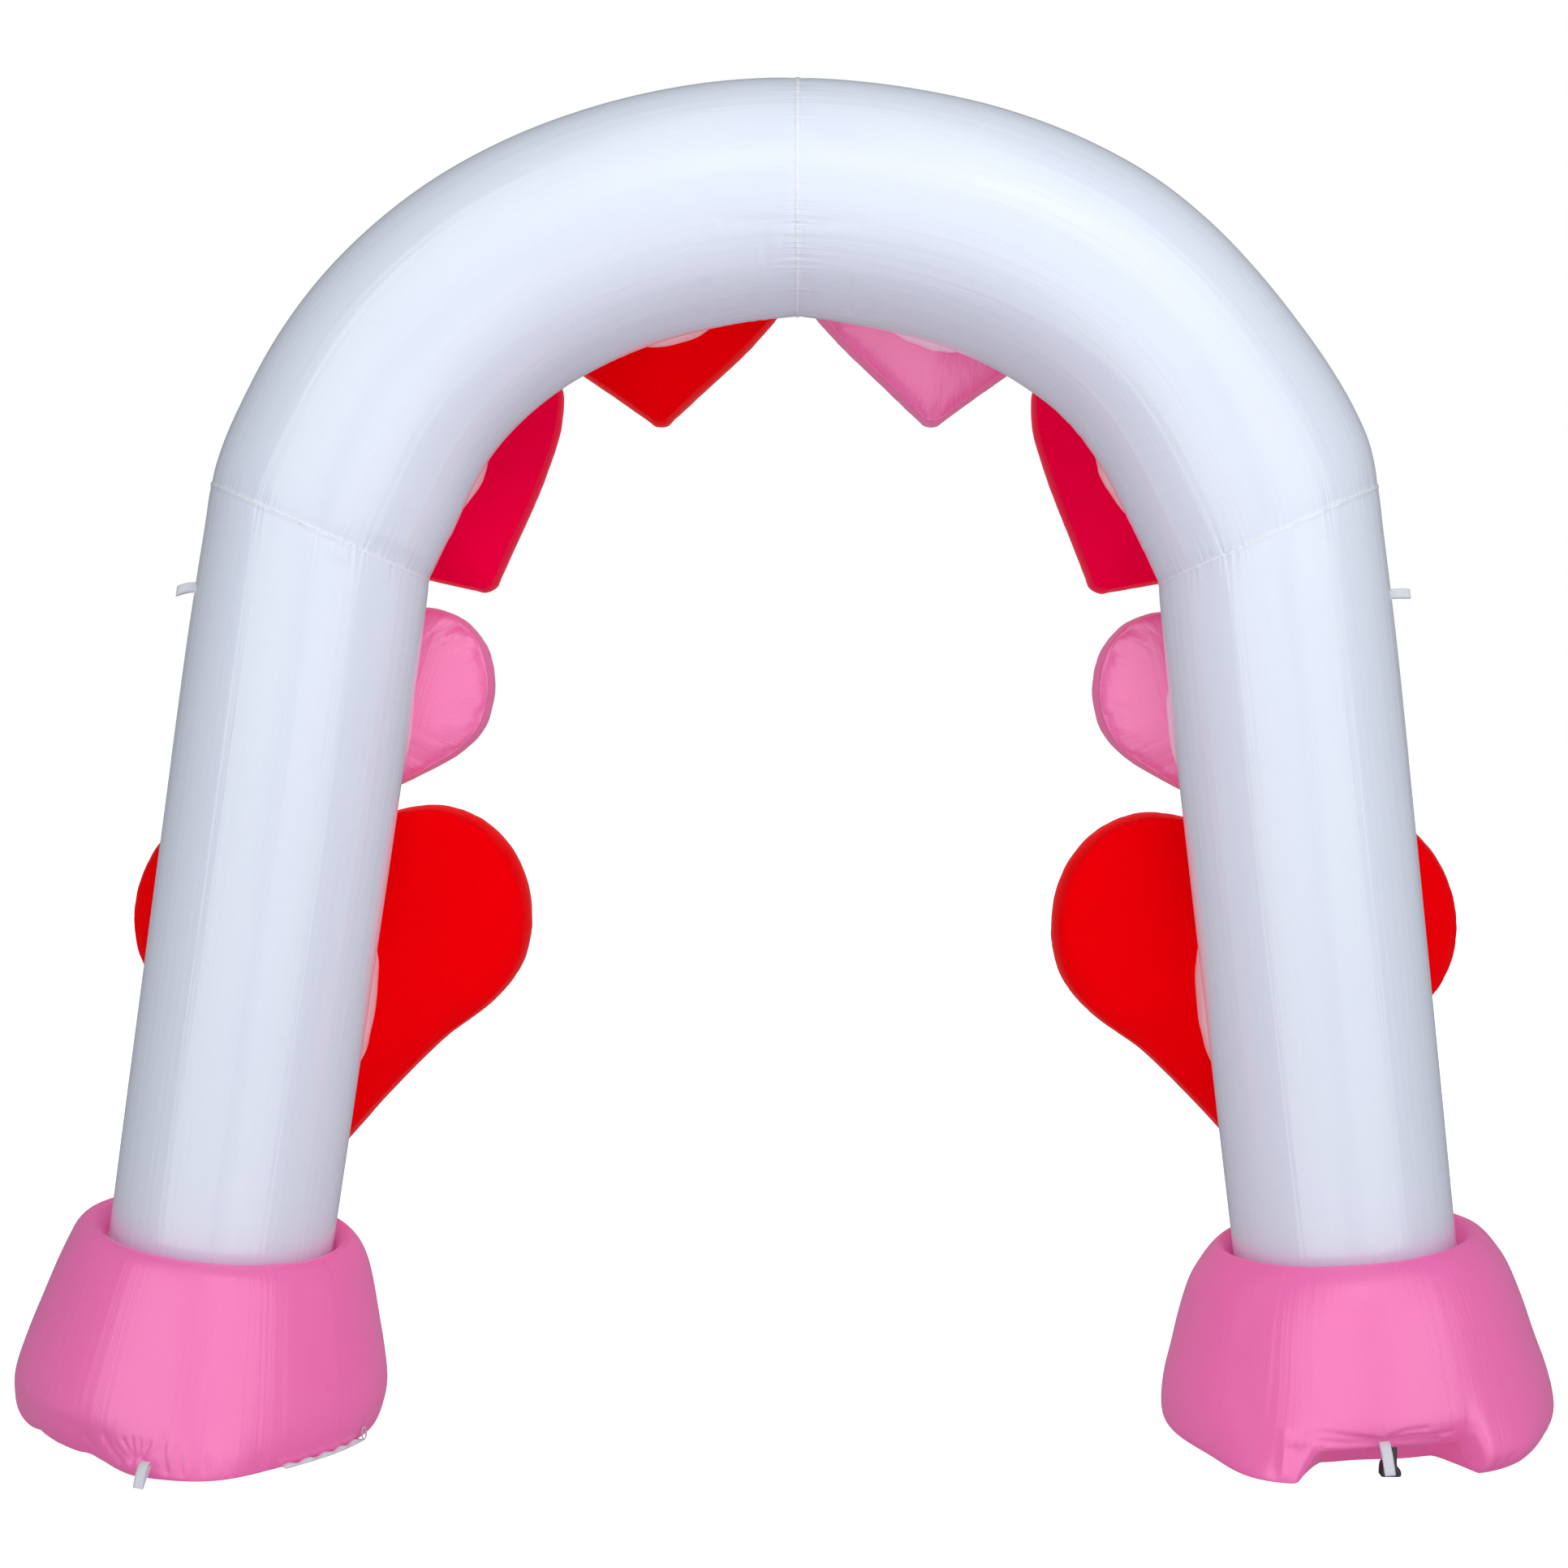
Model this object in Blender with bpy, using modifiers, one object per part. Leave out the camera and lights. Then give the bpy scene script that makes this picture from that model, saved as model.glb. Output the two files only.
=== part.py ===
"""Inflatable heart archway, blown up and standing.

A white taffeta arch of four sewn lengths stands on two pink bases. Eight heart
pillows hang on its front, each on a short white air sleeve. Webbing loops for
the guy lines are sewn to the legs and bases. The back faces -Y, the hearts face
+Y, and the arch rests on z = 0. Units are metres.
"""
import math
from collections import namedtuple

import bmesh
import bpy
from mathutils import Vector

# Space kept between pieces that are sewn or pressed together.
SEAM_GAP = 0.0003
# How far the copies that cut the sleeves stand proud of what they copy.
CUT_CLEARANCE = 0.0004

# The curve of the crown turns about this height, in the middle of the arch.
CROWN_CENTRE_Z = 1.385
# The sloping seam where crown and leg meet, measured up from the level.
ELBOW_ANGLE = 23.8
CROWN_TOP_ANGLE = 90.0
TUBE_SIDES = 32
LEG_TOP_DEPTH = 0.2275

# One row for each section of a crown half, from the crown seam down.
CrownRow = namedtuple("CrownRow", "angle axis_radius half_width half_depth")
CROWN_ROWS = {
    "left": [
        CrownRow(CROWN_TOP_ANGLE, 1.1060, 0.2365, 0.2365),
        CrownRow(84.0, 1.1050, 0.2395, 0.2395),
        CrownRow(78.0, 1.1050, 0.2415, 0.2410),
        CrownRow(71.0, 1.1070, 0.2425, 0.2415),
        CrownRow(64.0, 1.1100, 0.2435, 0.2415),
        CrownRow(57.0, 1.1120, 0.2430, 0.2415),
        CrownRow(50.5, 1.1090, 0.2425, 0.2415),
        CrownRow(44.0, 1.1015, 0.2430, 0.2415),
        CrownRow(38.0, 1.0880, 0.2455, 0.2415),
        CrownRow(32.5, 1.0735, 0.2465, 0.2400),
        CrownRow(28.5, 1.0675, 0.2440, 0.2370),
        CrownRow(26.0, 1.0635, 0.2410, 0.2330),
        CrownRow(ELBOW_ANGLE, 1.0595, 0.2365, LEG_TOP_DEPTH),
    ],
    "right": [
        CrownRow(CROWN_TOP_ANGLE, 1.1060, 0.2365, 0.2365),
        CrownRow(84.0, 1.1020, 0.2390, 0.2395),
        CrownRow(78.0, 1.1010, 0.2410, 0.2410),
        CrownRow(71.0, 1.1035, 0.2430, 0.2415),
        CrownRow(64.0, 1.1060, 0.2440, 0.2415),
        CrownRow(57.5, 1.1060, 0.2440, 0.2415),
        CrownRow(51.5, 1.1005, 0.2415, 0.2415),
        CrownRow(46.0, 1.0900, 0.2415, 0.2415),
        CrownRow(40.5, 1.0770, 0.2450, 0.2415),
        CrownRow(35.5, 1.0670, 0.2500, 0.2415),
        CrownRow(31.0, 1.0605, 0.2512, 0.2400),
        CrownRow(27.5, 1.0550, 0.2485, 0.2350),
        CrownRow(ELBOW_ANGLE, 1.0440, 0.2385, LEG_TOP_DEPTH),
    ],
}

# Where each leg's axis ends, in the sunken ring on top of its base.
LEG_FOOT = {"left": (-1.172, 0.365), "right": (1.112, 0.343)}
# One row for each section of a leg below the sloping seam.
LegRow = namedtuple("LegRow", "share radius")
LEG_ROWS = [
    LegRow(0.10, 0.2300),
    LegRow(0.20, 0.2310),
    LegRow(0.40, 0.2290),
    LegRow(0.60, 0.2265),
    LegRow(0.80, 0.2240),
    LegRow(1.00, 0.2215),
]

# Bases: one row for each level section, from the floor up to the leg's ring.
# The lift raises the far side of the puffed top and lowers the near side.
BaseRow = namedtuple("BaseRow", "height radius lift")
BASE_ROWS = {
    "left": [
        BaseRow(-0.030, 0.200, 0.0),
        BaseRow(-0.022, 0.285, 0.0),
        BaseRow(-0.006, 0.328, 0.0),
        BaseRow(0.022, 0.353, 0.0),
        BaseRow(0.062, 0.3645, 0.0),
        BaseRow(0.110, 0.3655, 0.0),
        BaseRow(0.178, 0.350, 0.0),
        BaseRow(0.244, 0.331, 0.0),
        BaseRow(0.309, 0.312, 0.0),
        BaseRow(0.358, 0.295, 0.0),
        BaseRow(0.387, 0.281, 0.006),
        BaseRow(0.403, 0.264, 0.012),
        BaseRow(0.401, 0.247, 0.014),
        BaseRow(0.384, 0.232, 0.010),
    ],
    "right": [
        BaseRow(-0.030, 0.210, 0.0),
        BaseRow(-0.022, 0.300, 0.0),
        BaseRow(-0.006, 0.345, 0.0),
        BaseRow(0.018, 0.374, 0.0),
        BaseRow(0.052, 0.386, 0.0),
        BaseRow(0.112, 0.3775, 0.0),
        BaseRow(0.178, 0.3585, 0.0),
        BaseRow(0.244, 0.340, 0.0),
        BaseRow(0.309, 0.317, 0.0),
        BaseRow(0.348, 0.294, -0.004),
        BaseRow(0.372, 0.275, -0.002),
        BaseRow(0.385, 0.258, 0.0),
        BaseRow(0.380, 0.244, 0.004),
        BaseRow(0.361, 0.232, 0.004),
    ],
}
BASE_FOOT_X = {"left": -1.2200, "right": 1.133}
BASE_SIDES = 40
RING_RADIUS = 0.2225
# The leaning legs tip the bases outwards, and the arch tips them nearward.
FLOOR_TILT = math.radians(4.0)
NEAR_TILT = math.radians(1.2)
# Cloth that would sink below the floor spreads sideways by this share.
SPREAD = 0.5
# Low on the base, bumps and the raised hem fade out by this height.
SKIRT_HEIGHT = 0.16
# One row for each swelling of the lower edge.
Bump = namedtuple("Bump", "azimuth width push")
BASE_BUMPS = {
    "left": [Bump(-72.0, 17.0, 0.032), Bump(-106.0, 14.0, -0.012)],
    "right": [Bump(-126.0, 17.0, 0.062), Bump(-50.0, 12.0, 0.016)],
}
# Where the floor edge is held up: by the tie loop on the left base, and over
# the blower's foot on the right one.
RaisedHem = namedtuple("RaisedHem", "azimuth half_angle edge rise draw_in")
RAISED_HEM = {
    "left": RaisedHem(-134.0, 14.0, 26.0, 0.024, 0.022),
    "right": RaisedHem(-91.0, 22.0, 6.0, 0.054, 0.030),
}

# Heart outlines in half-widths, from the tip up one side to the cleft. Each
# node has its place, its heading in degrees and its handles before and after.
Node = namedtuple("Node", "across up heading arrive leave steps")
SMALL_HEART = [
    Node(0.00, 0.035, 0.0, 0.00, 0.045, 2),
    Node(0.09, 0.080, 41.0, 0.04, 0.66, 5),
    Node(1.00, 1.100, 90.0, 0.36, 0.36, 5),
    Node(0.50, 1.700, 180.0, 0.28, 0.28, 4),
    Node(0.00, 1.400, 250.0, 0.15, 0.00, 0),
]
LARGE_HEART = [
    Node(0.00, 0.030, 0.0, 0.00, 0.035, 2),
    Node(0.07, 0.085, 49.0, 0.04, 0.29, 4),
    Node(0.60, 0.650, 39.0, 0.17, 0.17, 4),
    Node(1.00, 1.220, 90.0, 0.33, 0.33, 5),
    Node(0.50, 1.800, 180.0, 0.28, 0.28, 4),
    Node(0.00, 1.480, 252.0, 0.16, 0.00, 0),
]
# A heart's rings shrink to this point of its axis.
HEART_MIDDLE = 0.90
# One row for each ring of a face: its size, and its share of the dome.
FaceRing = namedtuple("FaceRing", "size rise")
FACE_RINGS = [FaceRing(0.34, 0.96), FaceRing(0.64, 0.79), FaceRing(0.86, 0.46), FaceRing(0.97, 0.0)]

# One row for each heart. The tilt turns its top towards +X.
Heart = namedtuple("Heart", "name outline tip_x tip_z tilt half_width plane_y band dome")
HEARTS = [
    Heart("low_left", LARGE_HEART, -1.025, 0.469, 0.6, 0.434, 0.380, 0.060, 0.074),
    Heart("low_right", LARGE_HEART, 1.013, 0.438, -1.3, 0.443, 0.380, 0.060, 0.074),
    Heart("mid_left", SMALL_HEART, -1.074, 1.203, 16.0, 0.316, 0.364, 0.052, 0.056),
    Heart("mid_right", SMALL_HEART, 1.049, 1.180, -14.0, 0.318, 0.364, 0.052, 0.056),
    Heart("high_left", SMALL_HEART, -0.667, 1.707, -27.0, 0.346, 0.368, 0.052, 0.058),
    Heart("high_right", SMALL_HEART, 0.646, 1.705, 29.5, 0.346, 0.368, 0.052, 0.058),
    Heart("top_left", SMALL_HEART, -0.298, 2.066, -3.9, 0.318, 0.368, 0.052, 0.058),
    Heart("top_right", SMALL_HEART, 0.291, 2.068, 3.9, 0.318, 0.368, 0.052, 0.058),
]

# One row for each air sleeve, in the order of the hearts: the tube it leaves,
# its middle, how far its longer way leans towards +X, and half that length.
Sleeve = namedtuple("Sleeve", "tube x z lean half_length")
SLEEVES = [
    Sleeve("leg_left", -1.026, 0.843, 7.9, 0.200),
    Sleeve("leg_right", 0.978, 0.840, -6.4, 0.200),
    Sleeve("leg_left", -0.950, 1.432, 7.9, 0.165),
    Sleeve("leg_right", 0.916, 1.434, -6.4, 0.165),
    Sleeve("crown_left", -0.803, 1.975, 37.0, 0.142),
    Sleeve("crown_right", 0.779, 1.976, -38.0, 0.142),
    Sleeve("crown_left", -0.286, 2.360, 73.6, 0.130),
    Sleeve("crown_right", 0.306, 2.350, -72.4, 0.130),
]
SLEEVE_HALF_WIDTH = 0.130
# The section is an oval with squared shoulders: 2 would be a plain ellipse.
SLEEVE_SQUARENESS = 2.6
SLEEVE_SIDES = 20
# Rings run from the tube forward to the heart: how far, and their share of the size.
SleeveRing = namedtuple("SleeveRing", "y share")
SLEEVE_RINGS = [
    SleeveRing(0.060, 0.94),
    SleeveRing(0.110, 0.98),
    SleeveRing(0.165, 1.00),
    SleeveRing(0.215, 0.99),
    SleeveRing(0.262, 0.92),
    SleeveRing(0.300, 0.82),
]

# Webbing loops for the guy lines.
WEBBING_WIDTH = 0.020
WEBBING_THICKNESS = 0.0014
LOOP_LENGTH = 0.046
# The loop's side view: how far out, as a share, and half its spread.
LoopPoint = namedtuple("LoopPoint", "out spread")
LOOP_SIDE = [
    LoopPoint(0.00, 0.0036),
    LoopPoint(0.22, 0.0078),
    LoopPoint(0.50, 0.0100),
    LoopPoint(0.78, 0.0088),
    LoopPoint(0.94, 0.0048),
]
LEG_LOOP_Z = {"left": 1.668, "right": 1.662}
LEG_LOOP_DROOP = {"left": 0.014, "right": 0.004}
# Each base loop's place: the row and side of the base, and the share along it.
BASE_LOOP_ROW = {"left": 3, "right": 3}
BASE_LOOP_SIDE = {"left": 29, "right": 28}
BASE_LOOP_SHARE = {"left": 0.40, "right": 0.95}
BASE_LOOP_DROOP = {"left": 0.017, "right": 0.031}

# Zip in the floor seam of the left base: a tape and its oval pull.
ZIP_FROM = -50.0
ZIP_TO = -17.0
ZIP_STEPS = 10
ZIP_TAPE_WIDTH = 0.016
ZIP_TAPE_HEIGHT = 0.0022
# Rows of the base where the tape leaves the floor and where the pull leans.
ZIP_ROW = 3
PULL_ROW = 4
ZIP_REACH = 0.0012
PULL_REACH = 0.0030
PULL_WIDTH = 0.011
PULL_LENGTH = 0.028
PULL_THICKNESS = 0.0022
PULL_SIDES = 16

# Rubber foot of the blower, seen under the raised hem. Its stem reaches up
# into the base's floor, which cuts it off.
FOOT_X = 1.119
FOOT_Y = -0.325
FOOT_DEPTH = 0.026
FOOT_TOP = 0.085
# Its side view, heel at the left, from the sole up and round.
FootPoint = namedtuple("FootPoint", "x z")
FOOT_OUTLINE = [
    FootPoint(-0.019, 0.006),
    FootPoint(-0.015, 0.0),
    FootPoint(0.014, 0.0),
    FootPoint(0.019, 0.005),
    FootPoint(0.017, 0.014),
    FootPoint(0.011, 0.022),
    FootPoint(0.010, FOOT_TOP),
    FootPoint(-0.003, FOOT_TOP),
    FootPoint(-0.004, 0.030),
    FootPoint(-0.016, 0.026),
]

PALETTE = {
    "white taffeta": ((0.86, 0.88, 0.94), 0.42),
    "pink taffeta": ((0.84, 0.13, 0.38), 0.45),
    "red taffeta": ((0.75, 0.0, 0.005), 0.40),
    "crimson taffeta": ((0.70, 0.0, 0.05), 0.40),
    "rose taffeta": ((0.80, 0.12, 0.36), 0.40),
    "white webbing": ((0.82, 0.84, 0.87), 0.60),
    "white zip": ((0.85, 0.84, 0.88), 0.50),
    "clear pull": ((0.80, 0.78, 0.80), 0.25),
    "black rubber": ((0.012, 0.012, 0.013), 0.55),
}
HEART_CLOTH = {
    "low_left": "red taffeta",
    "low_right": "red taffeta",
    "mid_left": "rose taffeta",
    "mid_right": "rose taffeta",
    "high_left": "crimson taffeta",
    "high_right": "crimson taffeta",
    "top_left": "red taffeta",
    "top_right": "rose taffeta",
}
SIDE_SIGN = {"left": -1.0, "right": 1.0}


def clear_scene():
    """Remove every object that the file starts with."""
    for item in list(bpy.data.objects):
        bpy.data.objects.remove(item, do_unlink=True)


def make_collection(name):
    """Add a collection to the scene."""
    collection = bpy.data.collections.new(name)
    bpy.context.scene.collection.children.link(collection)
    return collection


def make_material(name):
    """Return the named finish as a Principled BSDF."""
    material = bpy.data.materials.get(name)
    if material is None:
        colour, roughness = PALETTE[name]
        material = bpy.data.materials.new(name)
        material.use_nodes = True
        shader = material.node_tree.nodes["Principled BSDF"]
        shader.inputs["Base Color"].default_value = (*colour, 1.0)
        shader.inputs["Roughness"].default_value = roughness
        shader.inputs["Metallic"].default_value = 0.0
    return material


def mix(start, end, share):
    """Blend two numbers or vectors."""
    return start + (end - start) * share


def smooth_step(value):
    """Ease from 0 to 1."""
    value = min(max(value, 0.0), 1.0)
    return value * value * (3.0 - 2.0 * value)


def ring_angles(count):
    """Angles of a section's corners, with a flat side centred on 0."""
    return [2.0 * math.pi * (step + 0.5) / count for step in range(count)]


def loft(rings, start_point, end_point):
    """Skin a stack of rings and close both ends with fans of triangles."""
    shape = bmesh.new()
    loops = [[shape.verts.new(point) for point in ring] for ring in rings]
    count = len(loops[0])
    for lower, upper in zip(loops, loops[1:]):
        for index in range(count):
            after = (index + 1) % count
            shape.faces.new((lower[index], lower[after], upper[after]))
            shape.faces.new((lower[index], upper[after], upper[index]))
    for loop, point in ((loops[0], start_point), (loops[-1], end_point)):
        tip = shape.verts.new(point)
        for index in range(count):
            shape.faces.new((loop[index], loop[(index + 1) % count], tip))
    bmesh.ops.recalc_face_normals(shape, faces=shape.faces)
    return shape


def grow(shape, distance):
    """Move every face of a shape outwards."""
    shape.normal_update()
    for vert in shape.verts:
        vert.co += vert.normal * distance * vert.calc_shell_factor()


def add_object(name, shape, collection, frame, material=None):
    """Turn a finished shape into an object that hangs on the frame."""
    mesh = bpy.data.meshes.new(name)
    shape.to_mesh(mesh)
    shape.free()
    mesh.shade_smooth()
    mesh.set_sharp_from_angle(angle=math.radians(40.0))
    item = bpy.data.objects.new(name, mesh)
    if material is not None:
        mesh.materials.append(make_material(material))
    collection.objects.link(item)
    item.parent = frame
    return item


def add_cutter(name, shape, collection, frame):
    """Keep a grown copy of a piece that only cuts others."""
    grow(shape, CUT_CLEARANCE)
    cutter = add_object("cut_" + name, shape, collection, frame)
    cutter.hide_render = True
    cutter.display_type = "WIRE"
    return cutter


def cut(item, cutter):
    """Subtract a cutter from a piece."""
    modifier = item.modifiers.new("clear_" + cutter.name, "BOOLEAN")
    modifier.operation = "DIFFERENCE"
    modifier.solver = "EXACT"
    modifier.object = cutter


def crown_frame(side, angle):
    """Outward and downward directions of the crown at an angle."""
    turn = math.radians(angle)
    outward = Vector((SIDE_SIGN[side] * math.cos(turn), 0.0, math.sin(turn)))
    downward = Vector((SIDE_SIGN[side] * math.sin(turn), 0.0, -math.cos(turn)))
    return outward, downward


def crown_shape(side):
    """One half of the crown: a bent tube between its two seams."""
    centre = Vector((0.0, 0.0, CROWN_CENTRE_Z))
    rows = CROWN_ROWS[side]
    rings = []
    axis = []
    for row in rows:
        outward, downward = crown_frame(side, row.angle)
        middle = centre + outward * row.axis_radius
        if row is rows[0]:
            middle += downward * SEAM_GAP / 2.0
        if row is rows[-1]:
            middle -= downward * SEAM_GAP
        axis.append(middle)
        across = outward * row.half_width
        along_y = Vector((0.0, row.half_depth, 0.0))
        rings.append([middle + across * math.cos(turn) + along_y * math.sin(turn)
                      for turn in ring_angles(TUBE_SIDES)])
    return loft(rings, axis[0], axis[-1])


def leg_axis(side):
    """Top and foot of a leg's axis, its direction and its outward direction."""
    outward, _ = crown_frame(side, ELBOW_ANGLE)
    top = Vector((0.0, 0.0, CROWN_CENTRE_Z)) + outward * CROWN_ROWS[side][-1].axis_radius
    foot_x, foot_z = LEG_FOOT[side]
    foot = Vector((foot_x, 0.0, foot_z))
    along = (foot - top).normalized()
    out = Vector((-along.z * SIDE_SIGN[side], 0.0, along.x * SIDE_SIGN[side]))
    return top, foot, along, out


def leg_radius(share):
    """Radius of a leg at a share of its length."""
    rows = [LegRow(0.0, LEG_TOP_DEPTH)] + LEG_ROWS
    for row, after in zip(rows, rows[1:]):
        if share <= after.share:
            return mix(row.radius, after.radius, (share - row.share) / (after.share - row.share))
    return rows[-1].radius


def leg_ring(side, share, radius):
    """A section of a leg, square to its axis."""
    top, foot, _, out = leg_axis(side)
    middle = top + (foot - top) * share
    return [middle + out * radius * math.cos(turn) + Vector((0.0, radius * math.sin(turn), 0.0))
            for turn in ring_angles(TUBE_SIDES)]


def leg_shape(side):
    """A straight tube, cut at a slope where the crown is sewn on."""
    top, foot, along, _ = leg_axis(side)
    _, seam_normal = crown_frame(side, ELBOW_ANGLE)
    slope_ring = []
    for point in leg_ring(side, 0.0, LEG_TOP_DEPTH):
        slide = -(point - top).dot(seam_normal) / along.dot(seam_normal)
        slope_ring.append(point + along * slide)
    rings = [slope_ring]
    rings += [leg_ring(side, row.share, row.radius) for row in LEG_ROWS]
    return loft(rings, top, foot)


def hem_share(hem, azimuth, height):
    """How fully the raised hem acts at a place on the base."""
    away = abs((math.degrees(azimuth) - hem.azimuth + 180.0) % 360.0 - 180.0)
    across = 1.0 - smooth_step((away - hem.half_angle) / hem.edge)
    return across * (1.0 - smooth_step(height / SKIRT_HEIGHT))


def bump_push(side, azimuth, height):
    """How far the lower edge swells outwards."""
    push = 0.0
    for bump in BASE_BUMPS[side]:
        away = (math.degrees(azimuth) - bump.azimuth + 180.0) % 360.0 - 180.0
        push += bump.push * math.exp(-(away / bump.width) ** 2)
    return push * (1.0 - smooth_step(max(height, 0.0) / SKIRT_HEIGHT))


def base_point(side, row, azimuth):
    """A point of a base: tipped with the leg, then settled on the floor."""
    _, foot, along, _ = leg_axis(side)
    share = min(max(row.height / foot.z, 0.0), 1.0)
    lean = abs(along.x / along.z)
    slope = mix(math.tan(FLOOR_TILT), lean, share)
    near_slope = math.tan(NEAR_TILT) * (1.0 - share)
    radius = row.radius + bump_push(side, azimuth, row.height)
    outer = SIDE_SIGN[side] * math.cos(azimuth)
    far = math.sin(azimuth)
    height = row.height + radius * outer * slope + radius * far * near_slope + row.lift * far
    radius += max(-height, 0.0) * SPREAD
    height = max(height, 0.0)
    hem = RAISED_HEM[side]
    held_up = hem_share(hem, azimuth, row.height)
    if held_up > 0.0 and row.radius > BASE_ROWS[side][0].radius:
        height += hem.rise * held_up
        radius -= hem.draw_in * held_up
    middle_x = mix(BASE_FOOT_X[side], foot.x, share)
    return Vector((middle_x + radius * math.cos(azimuth), radius * far, height))


def base_rings(side):
    """All sections of a base, from the floor up to the sunken ring."""
    _, foot, along, _ = leg_axis(side)
    rings = [[base_point(side, row, turn) for turn in ring_angles(BASE_SIDES)]
             for row in BASE_ROWS[side]]
    lean = SIDE_SIGN[side] * abs(along.x / along.z)
    ring = []
    for turn in ring_angles(BASE_SIDES):
        across = RING_RADIUS * math.cos(turn)
        height = foot.z - SEAM_GAP + across * lean
        ring.append(Vector((foot.x + across, RING_RADIUS * math.sin(turn), height)))
    rings.append(ring)
    return rings


def base_shape(side):
    """A puffed round base with a flat floor and a sunken ring for its leg."""
    _, foot, _, _ = leg_axis(side)
    floor_middle = Vector((BASE_FOOT_X[side], 0.0, 0.0))
    return loft(base_rings(side), floor_middle, foot - Vector((0.0, 0.0, SEAM_GAP)))


def bezier(start, leaving, arriving, end, share):
    """A point of a cubic curve."""
    rest = 1.0 - share
    return (start * rest ** 3 + leaving * 3.0 * rest ** 2 * share
            + arriving * 3.0 * rest * share ** 2 + end * share ** 3)


def heading_of(node):
    """The direction in which the outline passes a node."""
    turn = math.radians(node.heading)
    return Vector((math.cos(turn), math.sin(turn)))


def heart_outline(nodes):
    """Closed outline of a heart in half-widths, mirrored about its axis."""
    side = []
    for node, after in zip(nodes, nodes[1:]):
        start = Vector((node.across, node.up))
        end = Vector((after.across, after.up))
        leaving = start + heading_of(node) * node.leave
        arriving = end - heading_of(after) * after.arrive
        side += [bezier(start, leaving, arriving, end, step / node.steps) for step in range(node.steps)]
    cleft = Vector((nodes[-1].across, nodes[-1].up))
    other_side = [Vector((-point.x, point.y)) for point in reversed(side[1:])]
    return side + [cleft] + other_side


def heart_place(heart, across, up, depth):
    """Place a point of a heart's own plane in the arch."""
    tilt = math.radians(heart.tilt)
    across *= heart.half_width
    up *= heart.half_width
    return Vector((heart.tip_x + across * math.cos(tilt) + up * math.sin(tilt),
                   heart.plane_y + depth,
                   heart.tip_z - across * math.sin(tilt) + up * math.cos(tilt)))


def heart_shape(heart):
    """A pillow of two domed faces and a side band that bulges between them."""
    middle = Vector((0.0, HEART_MIDDLE))
    outline = [point - middle for point in heart_outline(heart.outline)]
    levels = [(ring.size, -heart.band - heart.dome * ring.rise) for ring in FACE_RINGS]
    levels.append((1.0, 0.0))
    levels += [(ring.size, heart.band + heart.dome * ring.rise) for ring in reversed(FACE_RINGS)]
    rings = []
    for size, depth in levels:
        rings.append([heart_place(heart, point.x * size, HEART_MIDDLE + point.y * size, depth)
                      for point in outline])
    crown = heart.band + heart.dome
    return loft(rings, heart_place(heart, 0.0, HEART_MIDDLE, -crown),
                heart_place(heart, 0.0, HEART_MIDDLE, crown))


def oval_point(turn, half_width, half_length):
    """A point of an oval with squared shoulders."""
    power = 2.0 / SLEEVE_SQUARENESS
    across = math.copysign(abs(math.cos(turn)) ** power, math.cos(turn))
    along = math.copysign(abs(math.sin(turn)) ** power, math.sin(turn))
    return across * half_width, along * half_length


def sleeve_shape(sleeve):
    """The air sleeve behind a heart, before it is fitted to tube and heart."""
    lean = math.radians(sleeve.lean)
    rings = []
    for ring in SLEEVE_RINGS:
        points = []
        for turn in ring_angles(SLEEVE_SIDES):
            across, along = oval_point(turn, SLEEVE_HALF_WIDTH * ring.share, sleeve.half_length * ring.share)
            points.append(Vector((sleeve.x + across * math.cos(lean) + along * math.sin(lean), ring.y,
                                  sleeve.z - across * math.sin(lean) + along * math.cos(lean))))
        rings.append(points)
    return loft(rings, Vector((sleeve.x, SLEEVE_RINGS[0].y, sleeve.z)),
                Vector((sleeve.x, SLEEVE_RINGS[-1].y, sleeve.z)))


def loop_strip(root, out, spread, width, droop):
    """A folded strap: one closed strip that drops as it leaves the seam."""
    side = [(point.out, point.spread) for point in LOOP_SIDE]
    path = side + [(1.0, 0.0)] + [(reach, -half) for reach, half in reversed(side)]
    shape = bmesh.new()
    edges = []
    for reach, half in path:
        point = root + out * (reach * LOOP_LENGTH) + spread * half
        point.z -= droop * reach * reach
        edges.append([shape.verts.new(point + width * (WEBBING_WIDTH * share)) for share in (-0.5, 0.5)])
    for index, edge in enumerate(edges):
        after = edges[(index + 1) % len(edges)]
        shape.faces.new((edge[0], edge[1], after[1], after[0]))
    bmesh.ops.recalc_face_normals(shape, faces=shape.faces)
    return shape


def add_loop(name, shape, collection, frame):
    """Give a folded strap its thickness, inwards from the strip."""
    item = add_object(name, shape, collection, frame, "white webbing")
    wall = item.modifiers.new("wall", "SOLIDIFY")
    wall.thickness = WEBBING_THICKNESS
    wall.offset = 0.0
    wall.use_even_offset = True
    return item


def leg_loop(side):
    """The strap on the outer side of a leg."""
    top, foot, along, out = leg_axis(side)
    share = (top.z - LEG_LOOP_Z[side]) / (top.z - foot.z)
    flat = leg_radius(share) * math.cos(math.pi / TUBE_SIDES)
    root = top + (foot - top) * share + out * (flat + SEAM_GAP + WEBBING_THICKNESS / 2.0)
    return loop_strip(root, out, Vector((0.0, 1.0, 0.0)), along, LEG_LOOP_DROOP[side])


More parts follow.
